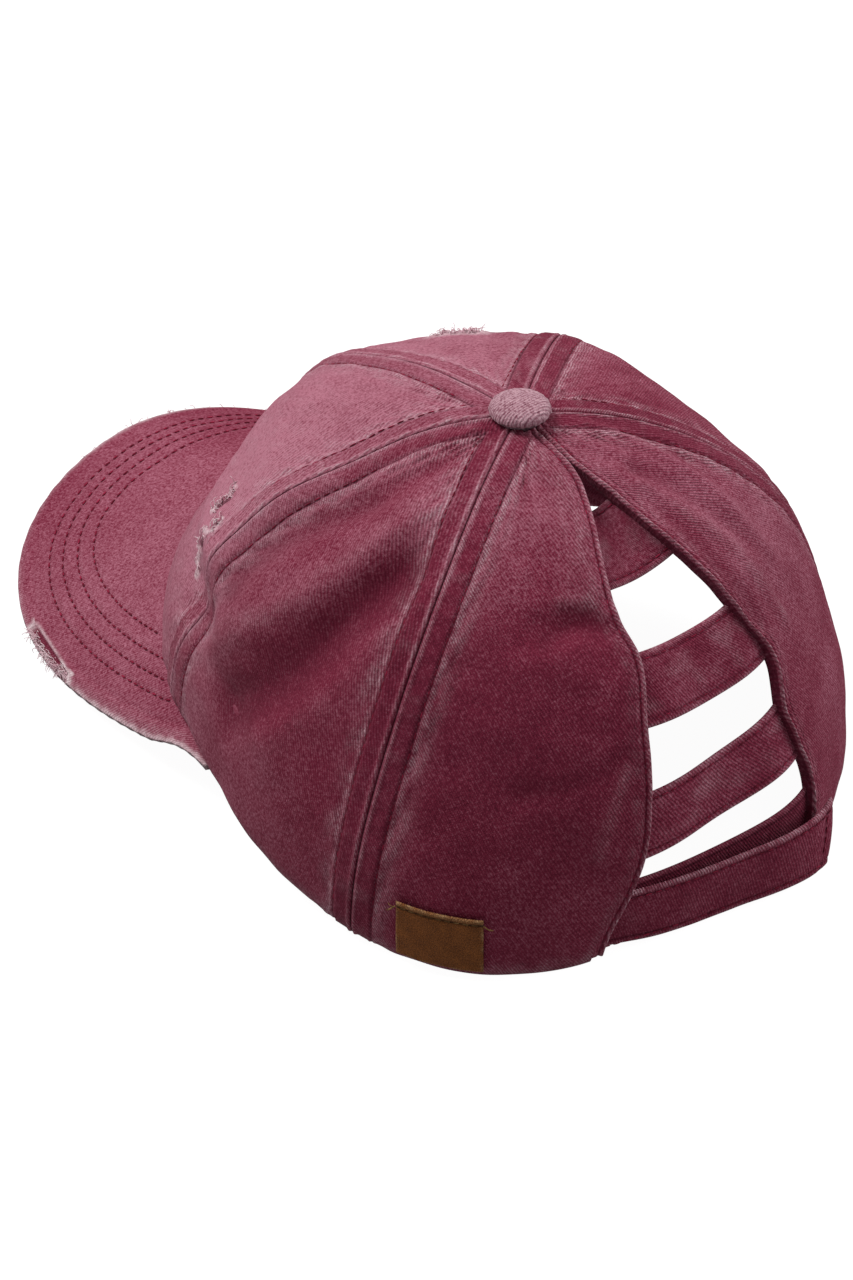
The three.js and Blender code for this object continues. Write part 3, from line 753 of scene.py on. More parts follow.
def wash_group():
    """Uneven fading of washed dye; Deep is where it stayed darker than its own colour."""
    if "Washed dye" in bpy.data.node_groups:
        return bpy.data.node_groups["Washed dye"]
    inputs = (
        ("Position", VECTOR, None),
        ("Fade", FLOAT, 0.4),
        ("Light", FLOAT, 0.5),
        ("Mottle", FLOAT, 0.3),
        ("Grain", FLOAT, 1.0),
    )
    tree, given, result = new_group("Washed dye", inputs, (("Fade", FLOAT), ("Deep", FLOAT)))
    broad = calc(tree, "SUBTRACT", noise(tree, given["Position"], 28, 3, 0.6), 0.5)
    middle = calc(tree, "SUBTRACT", noise(tree, given["Position"], 130, 3, 0.6), 0.5)
    total = calc(tree, "ADD", calc(tree, "MULTIPLY", broad, 1.1), calc(tree, "MULTIPLY", middle, 0.9))
    total = calc(tree, "MULTIPLY", total, given["Mottle"])
    speck = calc(tree, "SUBTRACT", noise(tree, given["Position"], 1250, 3, 0.75), 0.5)
    weave = calc(tree, "MULTIPLY", calc(tree, "SUBTRACT", given["Light"], 0.62), 0.4)
    grain = calc(tree, "ADD", calc(tree, "MULTIPLY", speck, 2.5), weave)
    amount = calc(tree, "ADD", calc(tree, "MULTIPLY", given["Fade"], 0.7), 0.7)
    grain = calc(tree, "MULTIPLY", calc(tree, "MULTIPLY", grain, amount), given["Grain"])
    total = calc(tree, "ADD", calc(tree, "ADD", total, grain), given["Fade"])
    tree.links.new(calc(tree, "ADD", total, 0.0, clamp=True), result["Fade"])
    tree.links.new(calc(tree, "MULTIPLY", total, -1.6, clamp=True), result["Deep"])
    return tree


def wear_group():
    """Where rubbed fibres show pale: a wear amount, broken up by the weave's raised threads."""
    if "Rubbed fibres" in bpy.data.node_groups:
        return bpy.data.node_groups["Rubbed fibres"]
    inputs = (
        ("Position", VECTOR, None),
        ("Wear", FLOAT, 0.0),
        ("Light", FLOAT, 0.5),
        ("Torn", FLOAT, 0.0),
    )
    outputs = (("Mask", FLOAT), ("Torn mask", FLOAT))
    tree, given, result = new_group("Rubbed fibres", inputs, outputs)
    speck = mapped(tree, noise(tree, given["Position"], 1300, 3, 0.7), 0.38, 0.66)
    patch = mapped(tree, noise(tree, given["Position"], 260, 3, 0.6), 0.3, 0.7, 0.45, 1.1)
    raised = mapped(tree, given["Light"], 0.25, 0.95, 0.25, 1.15)
    rubbed = calc(tree, "MULTIPLY", calc(tree, "MULTIPLY", given["Wear"], patch), raised)
    rubbed = calc(tree, "MULTIPLY", rubbed, calc(tree, "ADD", calc(tree, "MULTIPLY", speck, 0.6), 0.45))
    fuzz = calc(tree, "MULTIPLY", given["Torn"], calc(tree, "ADD", calc(tree, "MULTIPLY", speck, 0.45), 0.6))
    tree.links.new(calc(tree, "ADD", rubbed, 0.0, clamp=True), result["Mask"])
    tree.links.new(calc(tree, "ADD", fuzz, 0.0, clamp=True), result["Torn mask"])
    return tree


def new_material(name):
    material = bpy.data.materials.new(name)
    material.use_nodes = True
    tree = material.node_tree
    tree.nodes.clear()
    shader = add_node(tree, "ShaderNodeBsdfPrincipled")
    output = add_node(tree, "ShaderNodeOutputMaterial")
    tree.links.new(shader.outputs["BSDF"], output.inputs["Surface"])
    return material, tree, shader


def use_group(tree, group, **inputs):
    node = add_node(tree, "ShaderNodeGroup", node_tree=group)
    for key, value in inputs.items():
        link_or_set(tree, node.inputs[key.replace("_", " ")], value)
    return node.outputs


def solid(colour):
    return (*colour, 1)


def cloth_marks(tree):
    """The cloth's UV, its finish marks as red, green and blue, and its torn mark."""
    uv = add_node(tree, "ShaderNodeUVMap", uv_map="Cloth").outputs["UV"]
    marks = add_node(tree, "ShaderNodeAttribute", attribute_name="finish")
    split = add_node(tree, "ShaderNodeSeparateColor", {"Color": marks.outputs["Color"]})
    return uv, split.outputs, marks.outputs["Alpha"]


def add_relief(tree, shader, strength, depth, height):
    """Bump of a depth in millimetres on a material's surface."""
    inputs = {"Strength": strength, "Distance": depth * MM, "Height": height}
    relief = add_node(tree, "ShaderNodeBump", inputs)
    tree.links.new(relief.outputs["Normal"], shader.inputs["Normal"])


def washed_cloth(name, settings, wale, *values):
    dye, faded = settings.dye_colour, settings.faded_colour
    return cloth_material(name, dye, faded, settings, wale, *values)


def cloth_material(
    name, deep, faded, settings, wale, mottle=0.3, bump=0.16, sheen=0.03, grain=1.0
):
    """Washed, worn twill. Reads the piece's Cloth UV and its finish marks."""
    material, tree, shader = new_material(name)
    uv, marks, torn = cloth_marks(tree)
    position = add_node(tree, "ShaderNodeTexCoord").outputs["Object"]
    worn, stitched, fade = marks["Red"], marks["Green"], marks["Blue"]
    weave = use_group(tree, twill_weave_group(), Cloth_UV=uv, Wale=wale, Float_length=wale * 0.75)
    common = {"Position": position, "Light": weave["Light"]}
    wash = use_group(tree, wash_group(), Fade=fade, Mottle=mottle, Grain=grain, **common)
    rub = use_group(tree, wear_group(), Wear=worn, Torn=torn, **common)
    # The fade mark is partly washed-out dye, partly painted light and painted shade
    colour = blend_colour(tree, wash["Fade"], solid(deep), solid(faded))
    colour = blend_colour(tree, wash["Deep"], colour, solid(settings.dark_dye_and_shade))
    # The rubbed mask is real wear, with painted highlights on crease ridges and the visor's near edge
    colour = blend_colour(tree, rub["Mask"], colour, solid(settings.worn_colour))
    # The green mark darkens: the stitch lines' dark dye, and painted shade in creases, tears, under the hem
    # rolls and on the closure tab
    broken = mapped(tree, noise(tree, position, 700, 2), 0.3, 0.6, 0.6, 1)
    dark = calc(tree, "MULTIPLY", stitched, broken, clamp=True)
    colour = blend_colour(tree, dark, colour, solid(settings.dark_dye_and_shade))
    colour = blend_colour(tree, rub["Torn mask"], colour, solid(settings.torn_colour))
    tree.links.new(colour, shader.inputs["Base Color"])
    tree.links.new(mapped(tree, rub["Mask"], 0, 1, 0.82, 0.97), shader.inputs["Roughness"])
    shader.inputs["Specular IOR Level"].default_value = 0.06
    shader.inputs["Sheen Weight"].default_value = sheen
    shader.inputs["Sheen Roughness"].default_value = 0.55
    shader.inputs["Sheen Tint"].default_value = SHEEN_TINT
    fuzz = noise(tree, position, 1500, 3, 0.7)
    height = calc(tree, "ADD", weave["Height"], calc(tree, "MULTIPLY", fuzz, 0.35))
    raised = calc(tree, "MULTIPLY", rub["Mask"], calc(tree, "MULTIPLY", fuzz, 1.2))
    add_relief(tree, shader, 1.0, bump, calc(tree, "ADD", height, raised))
    return material


# Panels
def edge_degrees(table, side, share, along_opening):
    """A panel's own edge: beside the seam line, or standing back from it to make room for the hem."""
    angle = angle_at(table, share)
    room = 0.0
    if along_opening:
        below_top = smooth(share, HEM_TOP_SHARE - 0.04, HEM_TOP_SHARE - 0.01)
        room = (HEM_WIDTH + HEM_GAP - 0.4) * below_top
    return angle + side * room / mm_per_degree(angle, share)


def panel_columns(width, fraction):
    """Column places across a panel: close together beside both seams, wider in the middle."""
    near = np.minimum(SEAM_COLUMNS, SEAM_COLUMNS_SHARE * width) / width
    position = fraction * 3
    first = near * np.clip(position, 0, 1)
    middle = (1 - 2 * near) * np.clip(position - 1, 0, 1)
    return first + middle + near * np.clip(position - 2, 0, 1)


def panel_shape(first, second, first_open, second_open):
    def shape(u, v):
        start, end = angle_at(first, NEAR_TOP_SHARE), angle_at(second, NEAR_TOP_SHARE)
        top = share_at_radius(start + (end - start) * u, TOP_HOLE_RADIUS)
        share = 1 + (top - 1) * v
        left = edge_degrees(first, 1, share, first_open)
        right = edge_degrees(second, -1, share, second_open)
        middle = (left + right) / 2
        scale = mm_per_degree(middle, share)
        width = (right - left) * scale
        angle = left + (right - left) * panel_columns(width, u)
        rim = (1 - share) * CROWN_LINE
        flat = 1 - np.clip(rim / PANEL_TURNED_EDGE, 0, 1)
        turned = -PANEL_TURNED_EDGE * (1 - np.sqrt(np.clip(1 - flat**2, 0, 1)))
        points = cloth_point(angle, share, turned)
        centre = (angle_at(first, 0.6) + angle_at(second, 0.6)) / 2
        uv = twill_uv((angle - centre) * mm_per_degree(angle, share), -mm_down(centre, share))
        return points, uv, cloth_finish(angle, share)

    return shape


class CAP_OT_panels(bpy.types.Operator):
    """Make the six crown panels of washed twill, with their seam bands, worn ridges and tears"""

    bl_idname = "cap.panels"
    bl_label = "Crown panels"

    def execute(self, context):
        settings = context.scene.cap
        cloth = washed_cloth("Washed twill", settings, settings.wale)
        for name, first, second, first_open, second_open in PANELS:
            shape = panel_shape(first, second, first_open, second_open)
            mesh = grid_mesh(name + "_cloth", 84, 150, shape)
            piece = finished_object(name + "_cloth", mesh, "twill", cloth, [name])
            add_wall(piece, CROWN_WALL - 0.35)
        return {"FINISHED"}


# Rolled hems along the split back
def hem_shape(table, side, flap):
    """A flat strip level with the panel, with a thin roll and a turned-in flap along the opening."""
    width = HEM_WIDTH + 0.45

    def shape(u, v):
        share = HEM_TOP_SHARE + (0.997 - HEM_TOP_SHARE) * u
        angle = angle_at(table, share)
        scale = mm_per_degree(angle, share)
        down = share * CROWN_LINE
        across = width * (0.5 + 0.5 * np.cos(2 * np.pi * v))
        top = v < 0.5
        uneven = 1 + 0.12 * ripple(down, across * 0, 4, 21)
        upper = 0.5 + 0.5 * bell(across, 0.65, 0.5) * uneven - 0.3 * bell(across, 1.65, 0.28)
        lower = -0.9 - flap * bell(across, 0, 1.2) * smooth(share, 0.2, 0.3)
        near = np.clip(across / 0.6, 0, 1)
        far = np.clip((width - across) / 0.25, 0, 1)
        rounded = np.sqrt(1 - (1 - near) ** 2) * np.sqrt(1 - (1 - far) ** 2)
        lift = -0.55 + np.where(top, upper, lower) * rounded
        own = angle + side * (0.25 + across) / scale
        scallop = 0.5 + 0.5 * ripple(down, across, 4, 22)
        worn = 1.1 * bell(across, 0.6, 0.45) * (0.4 + 0.65 * scallop)
        worn = top * (worn + 0.3 * bell(across, 2.6, 0.5) * scallop)
        # Painted shade: the roll's under face and turned-in flap are darkened all over
        stitched = top * 0.9 * bell(across, 1.65, 0.24) + (1 - top) * 0.75
        fade = 0.08 + 0.2 * smooth(-share, -0.9, -0.2)
        uv = twill_uv(side * across, -down)
        return cloth_point(own, share, lift), uv, plain_finish(len(u), worn, stitched, fade)

    return shape


class CAP_OT_hems(bpy.types.Operator):
    """Make the two rolled hems along the split back"""

    bl_idname = "cap.hems"
    bl_label = "Hems"

    def execute(self, context):
        settings = context.scene.cap
        cloth = washed_cloth("Hem twill", settings, 0.7, 0.35, 0.14)
        hems = (("hem_left", OPENING_LEFT, -1, 0.4), ("hem_right", OPENING_RIGHT, 1, 2.4))
        for name, table, side, flap in hems:
            shape = hem_shape(table, side, flap)
            tube_piece(name, "_roll", 210, 40, shape, "twill", cloth)
        return {"FINISHED"}


# Button
class CAP_OT_button(bpy.types.Operator):
    """Make the covered button, with its shank and the washer inside the crown"""

    bl_idname = "cap.button"
    bl_label = "Button"

    def execute(self, context):
        settings = context.scene.cap
        middle = (button_low + button_high) / 2
        top, bottom = button_high.z, button_low.z
        radius = (button_high.x - button_low.x) / 2
        washer, under = bottom + WASHER_THICKNESS * MM, top - BUTTON_HEIGHT * MM
        outline = [
            (0, bottom),
            (WASHER_RADIUS * MM, bottom),
            (WASHER_WAIST_RADIUS * MM, bottom + WASHER_WAIST * MM),
            (WASHER_RADIUS * MM, washer),
            (SHANK_RADIUS * MM, washer),
            (SHANK_RADIUS * MM, under),
            (radius - BUTTON_UNDERCUT * MM, under),
        ]
        for step in range(BUTTON_STEPS + 1):
            turn = math.radians(-58 + 148 * step / BUTTON_STEPS)
            swell = max(0, math.cos(turn)) ** 0.62
            lift = (BUTTON_DOME if turn > 0 else BUTTON_BELLY) * MM * math.sin(turn)
            out = radius * swell if step < BUTTON_STEPS else 0
            outline.append((out, top - BUTTON_DOME * MM + lift))
        bm = bmesh.new()
        points = [bm.verts.new((x + middle.x, middle.y, z)) for x, z in outline]
        edges = [bm.edges.new(pair) for pair in zip(points, points[1:])]
        bmesh.ops.spin(
            bm,
            geom=points + edges,
            cent=(middle.x, middle.y, 0),
            axis=(0, 0, 1),
            angle=2 * math.pi,
            steps=72,
            use_merge=True,
        )
        bmesh.ops.remove_doubles(bm, verts=bm.verts, dist=SAME_PLACE)
        for vert in bm.verts:
            away = vert.co - Vector((middle.x, middle.y, vert.co.z))
            if vert.co.z > top - 4.6 * MM and away.length > 1e-5:
                turn = math.atan2(away.y, away.x)
                pull = 0.12 * math.sin(23 * turn) + 0.08 * math.sin(14 * turn + 1)
                vert.co += away.normalized() * pull * MM * smooth(away.length / radius, 0.75, 1)
        bmesh.ops.recalc_face_normals(bm, faces=bm.faces)
        mesh = bpy.data.meshes.new("button_cover")
        uv = bm.loops.layers.uv.new("Cloth")
        for face in bm.faces:
            for loop in face.loops:
                loop[uv].uv = ((loop.vert.co.x - middle.x) / MM, (loop.vert.co.y - middle.y) / MM)
        bm.to_mesh(mesh)
        bm.free()
        count = len(mesh.vertices)
        place = np.empty(count * 3, np.float32)
        mesh.vertices.foreach_get("co", place)
        place = place.reshape(-1, 3)
        away = np.hypot(place[:, 0] - middle.x, place[:, 1] - middle.y) / radius
        worn = 0.25 + 0.35 * bell(away, 0.93, 0.12)
        finish = plain_finish(count, worn, 0, 0.62 - 0.35 * smooth(away, 0.9, 1.0))
        store_finish(mesh, finish)
        deep, faded = settings.button_deep, settings.button_faded
        cloth = cloth_material("Button twill", deep, faded, settings, 0.75, 0.35, 0.14, 0.2, 1.6)
        finished_object("button_cover", mesh, "button_twill", cloth, ["button"])
        return {"FINISHED"}


# Visor
def visor_end():
    return crown_point(VISOR_END_ANGLE, 1, wrinkled=False)


def visor_edge_plan(turn):
    end = visor_end()
    length = CROWN_FRONT_REACH + VISOR_REACH + end[1]
    c, s = np.cos(np.radians(turn)), np.sin(np.radians(turn))
    share = (np.abs(s) / end[0]) ** VISOR_SQUARENESS + (np.abs(c) / length) ** VISOR_SQUARENESS
    radius = share ** (-1 / VISOR_SQUARENESS)
    return radius * s, end[1] - radius * c


def visor_arch(x, y):
    side = np.abs(x / visor_end()[0]) ** VISOR_ARCH_POWER
    return RIM_FRONT_LIFT - VISOR_ARCH * side + VISOR_PITCH * (y + CROWN_FRONT_REACH)


VISOR_LOWEST = visor_arch(*visor_edge_plan(np.linspace(0, 90, 91))).min()


def visor_point(side, depth):
    """The visor's upper face: side runs from -1 at the right end to 1, depth from 0 at the rim to 1."""
    angle = side * VISOR_END_ANGLE
    inner = crown_point(angle, np.ones_like(angle), -CROWN_WALL * 0.8, wrinkled=False)
    inner[..., 2] = rim_height(angle) - CLEARANCE
    x, y = visor_edge_plan(side * 90)
    tuck = smooth(np.abs(side), 0.8, 1)
    arched = visor_arch(x, y) - VISOR_LOWEST + VISOR_THICKNESS
    z = arched + (rim_height(angle) - CLEARANCE - arched) * tuck
    outer = np.stack([x, y, z], -1)
    return inner + (outer - inner) * depth[..., None]


def visor_normal(side, depth):
    step = 0.002
    along = visor_point(np.minimum(side + step, 1), depth) - visor_point(np.maximum(side - step, -1), depth)
    out = visor_point(side, depth + step) - visor_point(side, depth - step)
    normal = np.cross(out, along)
    return normal / np.maximum(np.linalg.norm(normal, axis=-1, keepdims=True), 1e-9)


VISOR_EDGE = visor_point(np.linspace(-1, 1, 721), np.ones(721))


def visor_inset(points):
    """Millimetres in from the visor's edge, and the place along the edge."""
    inset = np.empty(len(points))
    place = np.empty(len(points))
    for start in range(0, len(points), 4000):
        block = points[start : start + 4000]
        gaps = np.linalg.norm(block[:, None] - VISOR_EDGE[None], axis=-1)
        inset[start : start + 4000] = gaps.min(1)
        place[start : start + 4000] = gaps.argmin(1) / 720
    return inset, place


def visor_slit(points):
    """Distance from the torn slit beside the near edge, in plan."""
    (x0, y0), (x1, y1) = VISOR_SLIT_FROM, VISOR_SLIT_TO
    bx, by = x1 - x0, y1 - y0
    t = np.clip(((points[:, 0] - x0) * bx + (points[:, 1] - y0) * by) / (bx * bx + by * by), 0, 1)
    return np.hypot(points[:, 0] - x0 - t * bx, points[:, 1] - y0 - t * by)


def visor_finish_and_relief(points):
    inset, place = visor_inset(points)
    along = place * 300
    x, y = points[:, 0], points[:, 1]
    relief = 0.12 * ripple(x, y, 18, 31) * smooth(inset, 3, 12)
    relief = relief + 0.25 * bell(inset, 2.6, 1.4) - 0.15 * bell(inset, 5, 1)
    stitched = 0
    puff = 0
    for row in VISOR_ROWS:
        relief = relief - 0.2 * bell(inset, row, 0.6)
        stitched = stitched + 0.14 * bell(inset, row, 0.5)
        puff = puff + 0.09 * bell(inset, row + 2.3, 1.3) * ripple(along, inset, 6, 32)
    scallop = 0.5 + 0.5 * ripple(along, inset * 2, 5, 33)
    worn = 1.0 * bell(inset, 0, 1.2) * (0.35 + 0.75 * scallop)
    for row in VISOR_ROWS:
        worn = worn + 0.2 * bell(inset, row + 1.1, 0.6) * scallop
    # Painted light: the near side's edge, which faces away from the lamps, is paled, besides its real wear
    near_corner = bell(x, 78, 22) * bell(y, -58, 34)
    worn = worn + 0.6 * near_corner * bell(inset, 0, 4) * (0.4 + 0.6 * scallop)
    tip = bell(x, -8, 26) * bell(y, -162, 9)
    torn = 0.9 * tip * bell(inset, 0.2, 1.5) * (0.3 + 0.7 * scallop)
    # Pale torn fibres along the near end's edge: real fraying, with painted light on its shaded face
    torn = torn + 0.7 * smooth(x, 66, 74) * bell(inset, 0, 0.9) * (0.4 + 0.6 * scallop)
    gap = visor_slit(points)
    relief = relief - 0.8 * (1 - smooth(gap, 0.9, 1.3)) + 0.35 * bell(gap, 1.75, 0.5)
    # The slit is darkened and kept unfaded: partly the deeper dye inside it, partly painted shade
    stitched = stitched + 0.3 * (1 - smooth(gap, 1.05, 1.3))
    outside = inset < VISOR_SLIT_INSET
    torn = torn + outside * smooth(gap, 1.1, 1.4) * (1 - smooth(gap, 2.9, 3.8)) * (0.45 + 0.6 * scallop)
    torn = torn + 0.9 * bell(gap, 1.55, 0.35) * (inset >= VISOR_SLIT_INSET) * (0.4 + 0.6 * scallop)
    fade = 0.14 + 0.3 * bell(np.hypot(x - 40, (y + 95) * 0.8), 0, 46) + 0.05 * ripple(x, y, 40, 34)
    fade = fade * smooth(gap, 0.8, 1.3)
    return inset, relief + puff, plain_finish(len(points), worn, stitched, fade, torn)


def visor_depth(s):
    """Rows from the rim to the edge, close together where the edge turns round."""
    turn = np.clip((s - VISOR_EDGE_ROWS) / (1 - VISOR_EDGE_ROWS), 0, 1)
    near_edge = VISOR_EDGE_DEPTH + (1 - VISOR_EDGE_DEPTH) * np.sin(turn * np.pi / 2)
    return np.where(s < VISOR_EDGE_ROWS, VISOR_EDGE_DEPTH * s / VISOR_EDGE_ROWS, near_edge)


def visor_shape(u, v):
    side = 2 * u - 1
    half = VISOR_EDGE_THICKNESS / 2
    top_end, under_end = VISOR_TOP_END, VISOR_UNDER_END
    top = v <= top_end
    back = np.clip((v - under_end) / (1 - under_end), 0, 1)
    under = (1 - (v - top_end) / (under_end - top_end)).clip(0, 1)
    depth = visor_depth(np.where(top, v / top_end, under))
    base = visor_point(side, depth)
    normal = visor_normal(side, np.clip(depth, 0.01, 0.99))
    inset, relief, finish = visor_finish_and_relief(base)
    relief = relief * smooth(depth, 0, 0.05) * smooth(1 - np.abs(side), 0, 0.03) * top
    curl = 1 - np.sqrt(1 - (1 - np.clip(inset / half, 0, 1)) ** 2)
    round_off = half * curl * smooth(1 - np.abs(side), 0, 0.02)
    thin = (VISOR_THICKNESS - VISOR_EDGE_THICKNESS) * (1 - smooth(inset, 0, VISOR_THIN_FROM))
    drop = np.where(top, round_off, (VISOR_THICKNESS - thin - round_off) * (1 - back))
    points = base + normal * relief[..., None]
    points[..., 2] = points[..., 2] - drop
    finish[:, 1] = finish[:, 1] * np.where(top, 1, 0.45 * (inset > 4))
    finish[:, 3] = finish[:, 3] * np.where(top, 1, inset < 1)
    uv = twill_uv(base[:, 0], base[:, 1] * np.where(top, 1, -1))
    return points, uv, finish


class CAP_OT_visor(bpy.types.Operator):
    """Make the curved visor with its stitched rows, worn edge and torn slit"""

    bl_idname = "cap.visor"
    bl_label = "Visor"

    def execute(self, context):
        settings = context.scene.cap
        cloth = washed_cloth("Visor twill", settings, 0.62, 0.3, 0.1)
        tube_piece("visor", "_cloth", 220, 160, visor_shape, "twill", cloth)
        return {"FINISHED"}


# Straps and bands: closed flat tubes, v runs once round the section
def strap_section(v):
    """Across from -1 to 1 and thickness from -1 to 1, round a flat section with soft edges."""
    across = -np.cos(2 * np.pi * v)
    side = np.where(v < 0.5, 1, -1)
    return across, side * np.sqrt(np.clip(1 - np.clip((np.abs(across) - 0.86) / 0.14, 0, 1) ** 2, 0, 1))


def strap_marks(length, across_mm, half_width, margin, seed, rub=0.3):
    """Stitch grooves beside both edges, puckers between them and rubbed edges."""
    from_edge = half_width - np.abs(across_mm)
    scallop = 0.5 + 0.5 * ripple(length, across_mm, 5, seed)
    groove = bell(from_edge, margin, 0.3)
    relief = 0.12 * ripple(length, across_mm, 6, seed + 1) * bell(from_edge, margin + 1.6, 1.6)
    relief = relief - 0.3 * groove
    relief = relief + 0.1 * ripple(length, across_mm, 13, seed + 2)
    worn = 0.8 * bell(from_edge, 0.3, 0.6) * (0.35 + 0.65 * scallop)
    rubbed = ripple(length, across_mm, 15, seed + 3) + 0.6 * ripple(length, across_mm, 7, seed + 4)
    rubbed = rub * np.clip(rubbed, 0, 1) * smooth(from_edge, margin + 0.6, margin + 3)
    return relief, worn + rubbed, 0.85 * groove


def ladder_edges(strap):
    """Half the strap's width at its left and right end, as a share."""
    left_share, right_share, width = strap
    half = LADDER_STRAP_WIDTH * width / 2
    ends = ((OPENING_LEFT, left_share), (OPENING_RIGHT, right_share))
    return [share_step(half, angle_at(table, share), share) for table, share in ends]


def share_step(length, angle, share):
    step = 0.01
    low, high = (crown_point(angle, share + s, wrinkled=False) for s in (-step, step))
    return length * 2 * step / np.linalg.norm(high - low)


def ladder_place(strap, u, across):
    """Angle, share and sag at a place on a ladder strap; across runs from -1 at the top to 1."""
    left_half, right_half = ladder_edges(strap)
    left_share = strap[0] + left_half * across
    right_share = strap[1] + right_half * across
    left = angle_at(OPENING_LEFT, left_share)
    right = angle_at(OPENING_RIGHT, right_share) + 360
    start = left - LADDER_STRAP_TUCK / mm_per_degree(left, left_share)
    end = right + LADDER_STRAP_TUCK / mm_per_degree(right, right_share)
    sag = LADDER_STRAP_SAG * np.sin(np.pi * smooth(u, 0.1, 0.9))
    return start + (end - start) * u, left_share + (right_share - left_share) * u, sag


UNDER_PANEL = -CROWN_WALL - STRAP_GAP


def ladder_shape(strap, seed):
    def shape(u, v):
        across, rise = strap_section(v)
        angle, share, sag = ladder_place(strap, u, across)
        half = LADDER_STRAP_WIDTH * strap[2] / 2
        length = u * LADDER_STRAP_LENGTH
        relief, worn, stitched = strap_marks(length, across * half, half, LADDER_STITCH_MARGIN, seed)
        half_thick = STRAP_THICKNESS / 2
        relief = relief * np.where(v < 0.5, rise, 0.4 * rise)
        lift = UNDER_PANEL - sag - half_thick + half_thick * rise + relief
        points = crown_point(angle, share, lift, wrinkled=False)
        fade = 0.12 + 0.14 * ripple(length, across * half, 14, seed + 5)
        uv = twill_uv(length, -across * half)
        return points, uv, plain_finish(len(u), worn, stitched, fade)

    return shape


class CAP_OT_ladder_straps(bpy.types.Operator):
    """Make the three doubled straps across the split back"""

    bl_idname = "cap.ladder_straps"
    bl_label = "Ladder straps"

    def execute(self, context):
        settings = context.scene.cap
        cloth = washed_cloth("Strap twill", settings, 0.7, 0.3, 0.13)
        for index, strap in enumerate(LADDER_STRAPS):
            node = f"ladder_strap_{index + 1}"
            shape = ladder_shape(strap, 40 + 7 * index)
            tube_piece(node, "_cloth", 64, 72, shape, "strap_twill", cloth)
        return {"FINISHED"}


def closure_offset(angle):
    left = angle_at(OPENING_LEFT, 1.0) + 3
    right = 360 + angle_at(OPENING_RIGHT, 1.0) - 5
    over_hem = HEM_THICKNESS - CROWN_WALL + CLEARANCE + STRAP_THICKNESS
    lapped = (over_hem - UNDER_PANEL) * smooth(angle, left, right)
    return UNDER_PANEL + lapped + 2.4 * smooth(angle, 176, 196)


def closure_place(u, across):
    """Angle and height on the closure strap; its free end is cut a little aslant."""
    end = CLOSURE_RIGHT_END - 1.7 * (across + 1)
    angle = CLOSURE_LEFT_END + (end - CLOSURE_LEFT_END) * u
    top = CLOSURE_RIM_MARGIN + CLOSURE_WIDTH
    height = top - (top - CLOSURE_FOOT) * (1 + across) / 2
    return angle, height


def closure_shape(u, v):
    across, rise = strap_section(v)
    angle, height = closure_place(u, across)
    half, thick = CLOSURE_WIDTH / 2, STRAP_THICKNESS / 2
    length = u * CLOSURE_LENGTH
    margin, rub = CLOSURE_STITCH_MARGIN, 0.06
    relief, worn, stitched = strap_marks(length, across * half, half, margin, 61, rub)
    from_end = CLOSURE_LENGTH - length
    worn = worn + 0.6 * bell(from_end, 0.2, 0.8) + 0.2 * bell(across, -0.95, 0.12)
    stitched = stitched + 0.7 * bell(from_end, CLOSURE_END_STITCHES, 0.5)
    relief = relief - 0.25 * bell(from_end, CLOSURE_END_STITCHES, 0.6)
    thin = np.sqrt(np.clip(1 - (1 - np.clip(from_end / 0.8, 0, 1)) ** 2, 0.15, 1))
    lift = closure_offset(angle) - thick + thick * rise * thin + relief * np.maximum(rise, 0)
    points = crown_point(angle, share_at_height(angle, height), lift)
    fade = 0.02 + 0.05 * ripple(length, across * half, 20, 66)
    return points, twill_uv(length, -across * half), plain_finish(len(u), worn, stitched, fade)


def tab_shape(u, v):
    across, rise = strap_section(v)
    angle = TAB_LEFT_END + (TAB_RIGHT_END - TAB_LEFT_END) * u
    height = CLOSURE_RIM_MARGIN + TAB_WIDTH / 2 * (1 - across)
    half, thick = TAB_WIDTH / 2, STRAP_THICKNESS / 2
    deep = UNDER_PANEL - STRAP_THICKNESS - CLEARANCE
    length, margin = u * TAB_LENGTH, CLOSURE_STITCH_MARGIN
    relief, worn, stitched = strap_marks(length, across * half, half, margin, 71)
    offset = deep + (UNDER_PANEL - deep) * smooth(u, 0, 0.8)
    lift = offset - thick + thick * rise + relief * 0.5 * np.maximum(rise, 0)
    points = crown_point(angle, share_at_height(angle, height), lift, wrinkled=False)
    # Painted shade: the tab behind the closure strap is darkened all over, unfaded and less rubbed
    return points, twill_uv(length, -across * half), plain_finish(len(u), worn * 0.4, stitched + 0.25, 0.0)


class CAP_OT_closure(bpy.types.Operator):
    """Make the closure strap that laps over the right corner, and the inner tab behind it"""

    bl_idname = "cap.closure"
    bl_label = "Closure"

    def execute(self, context):
        cloth = bpy.data.materials["Strap twill"]
        tube_piece("closure_strap", "_cloth", 96, 72, closure_shape, "strap_twill", cloth)
        tube_piece("closure_tab", "_cloth", 72, 60, tab_shape, "strap_twill", cloth)
        return {"FINISHED"}


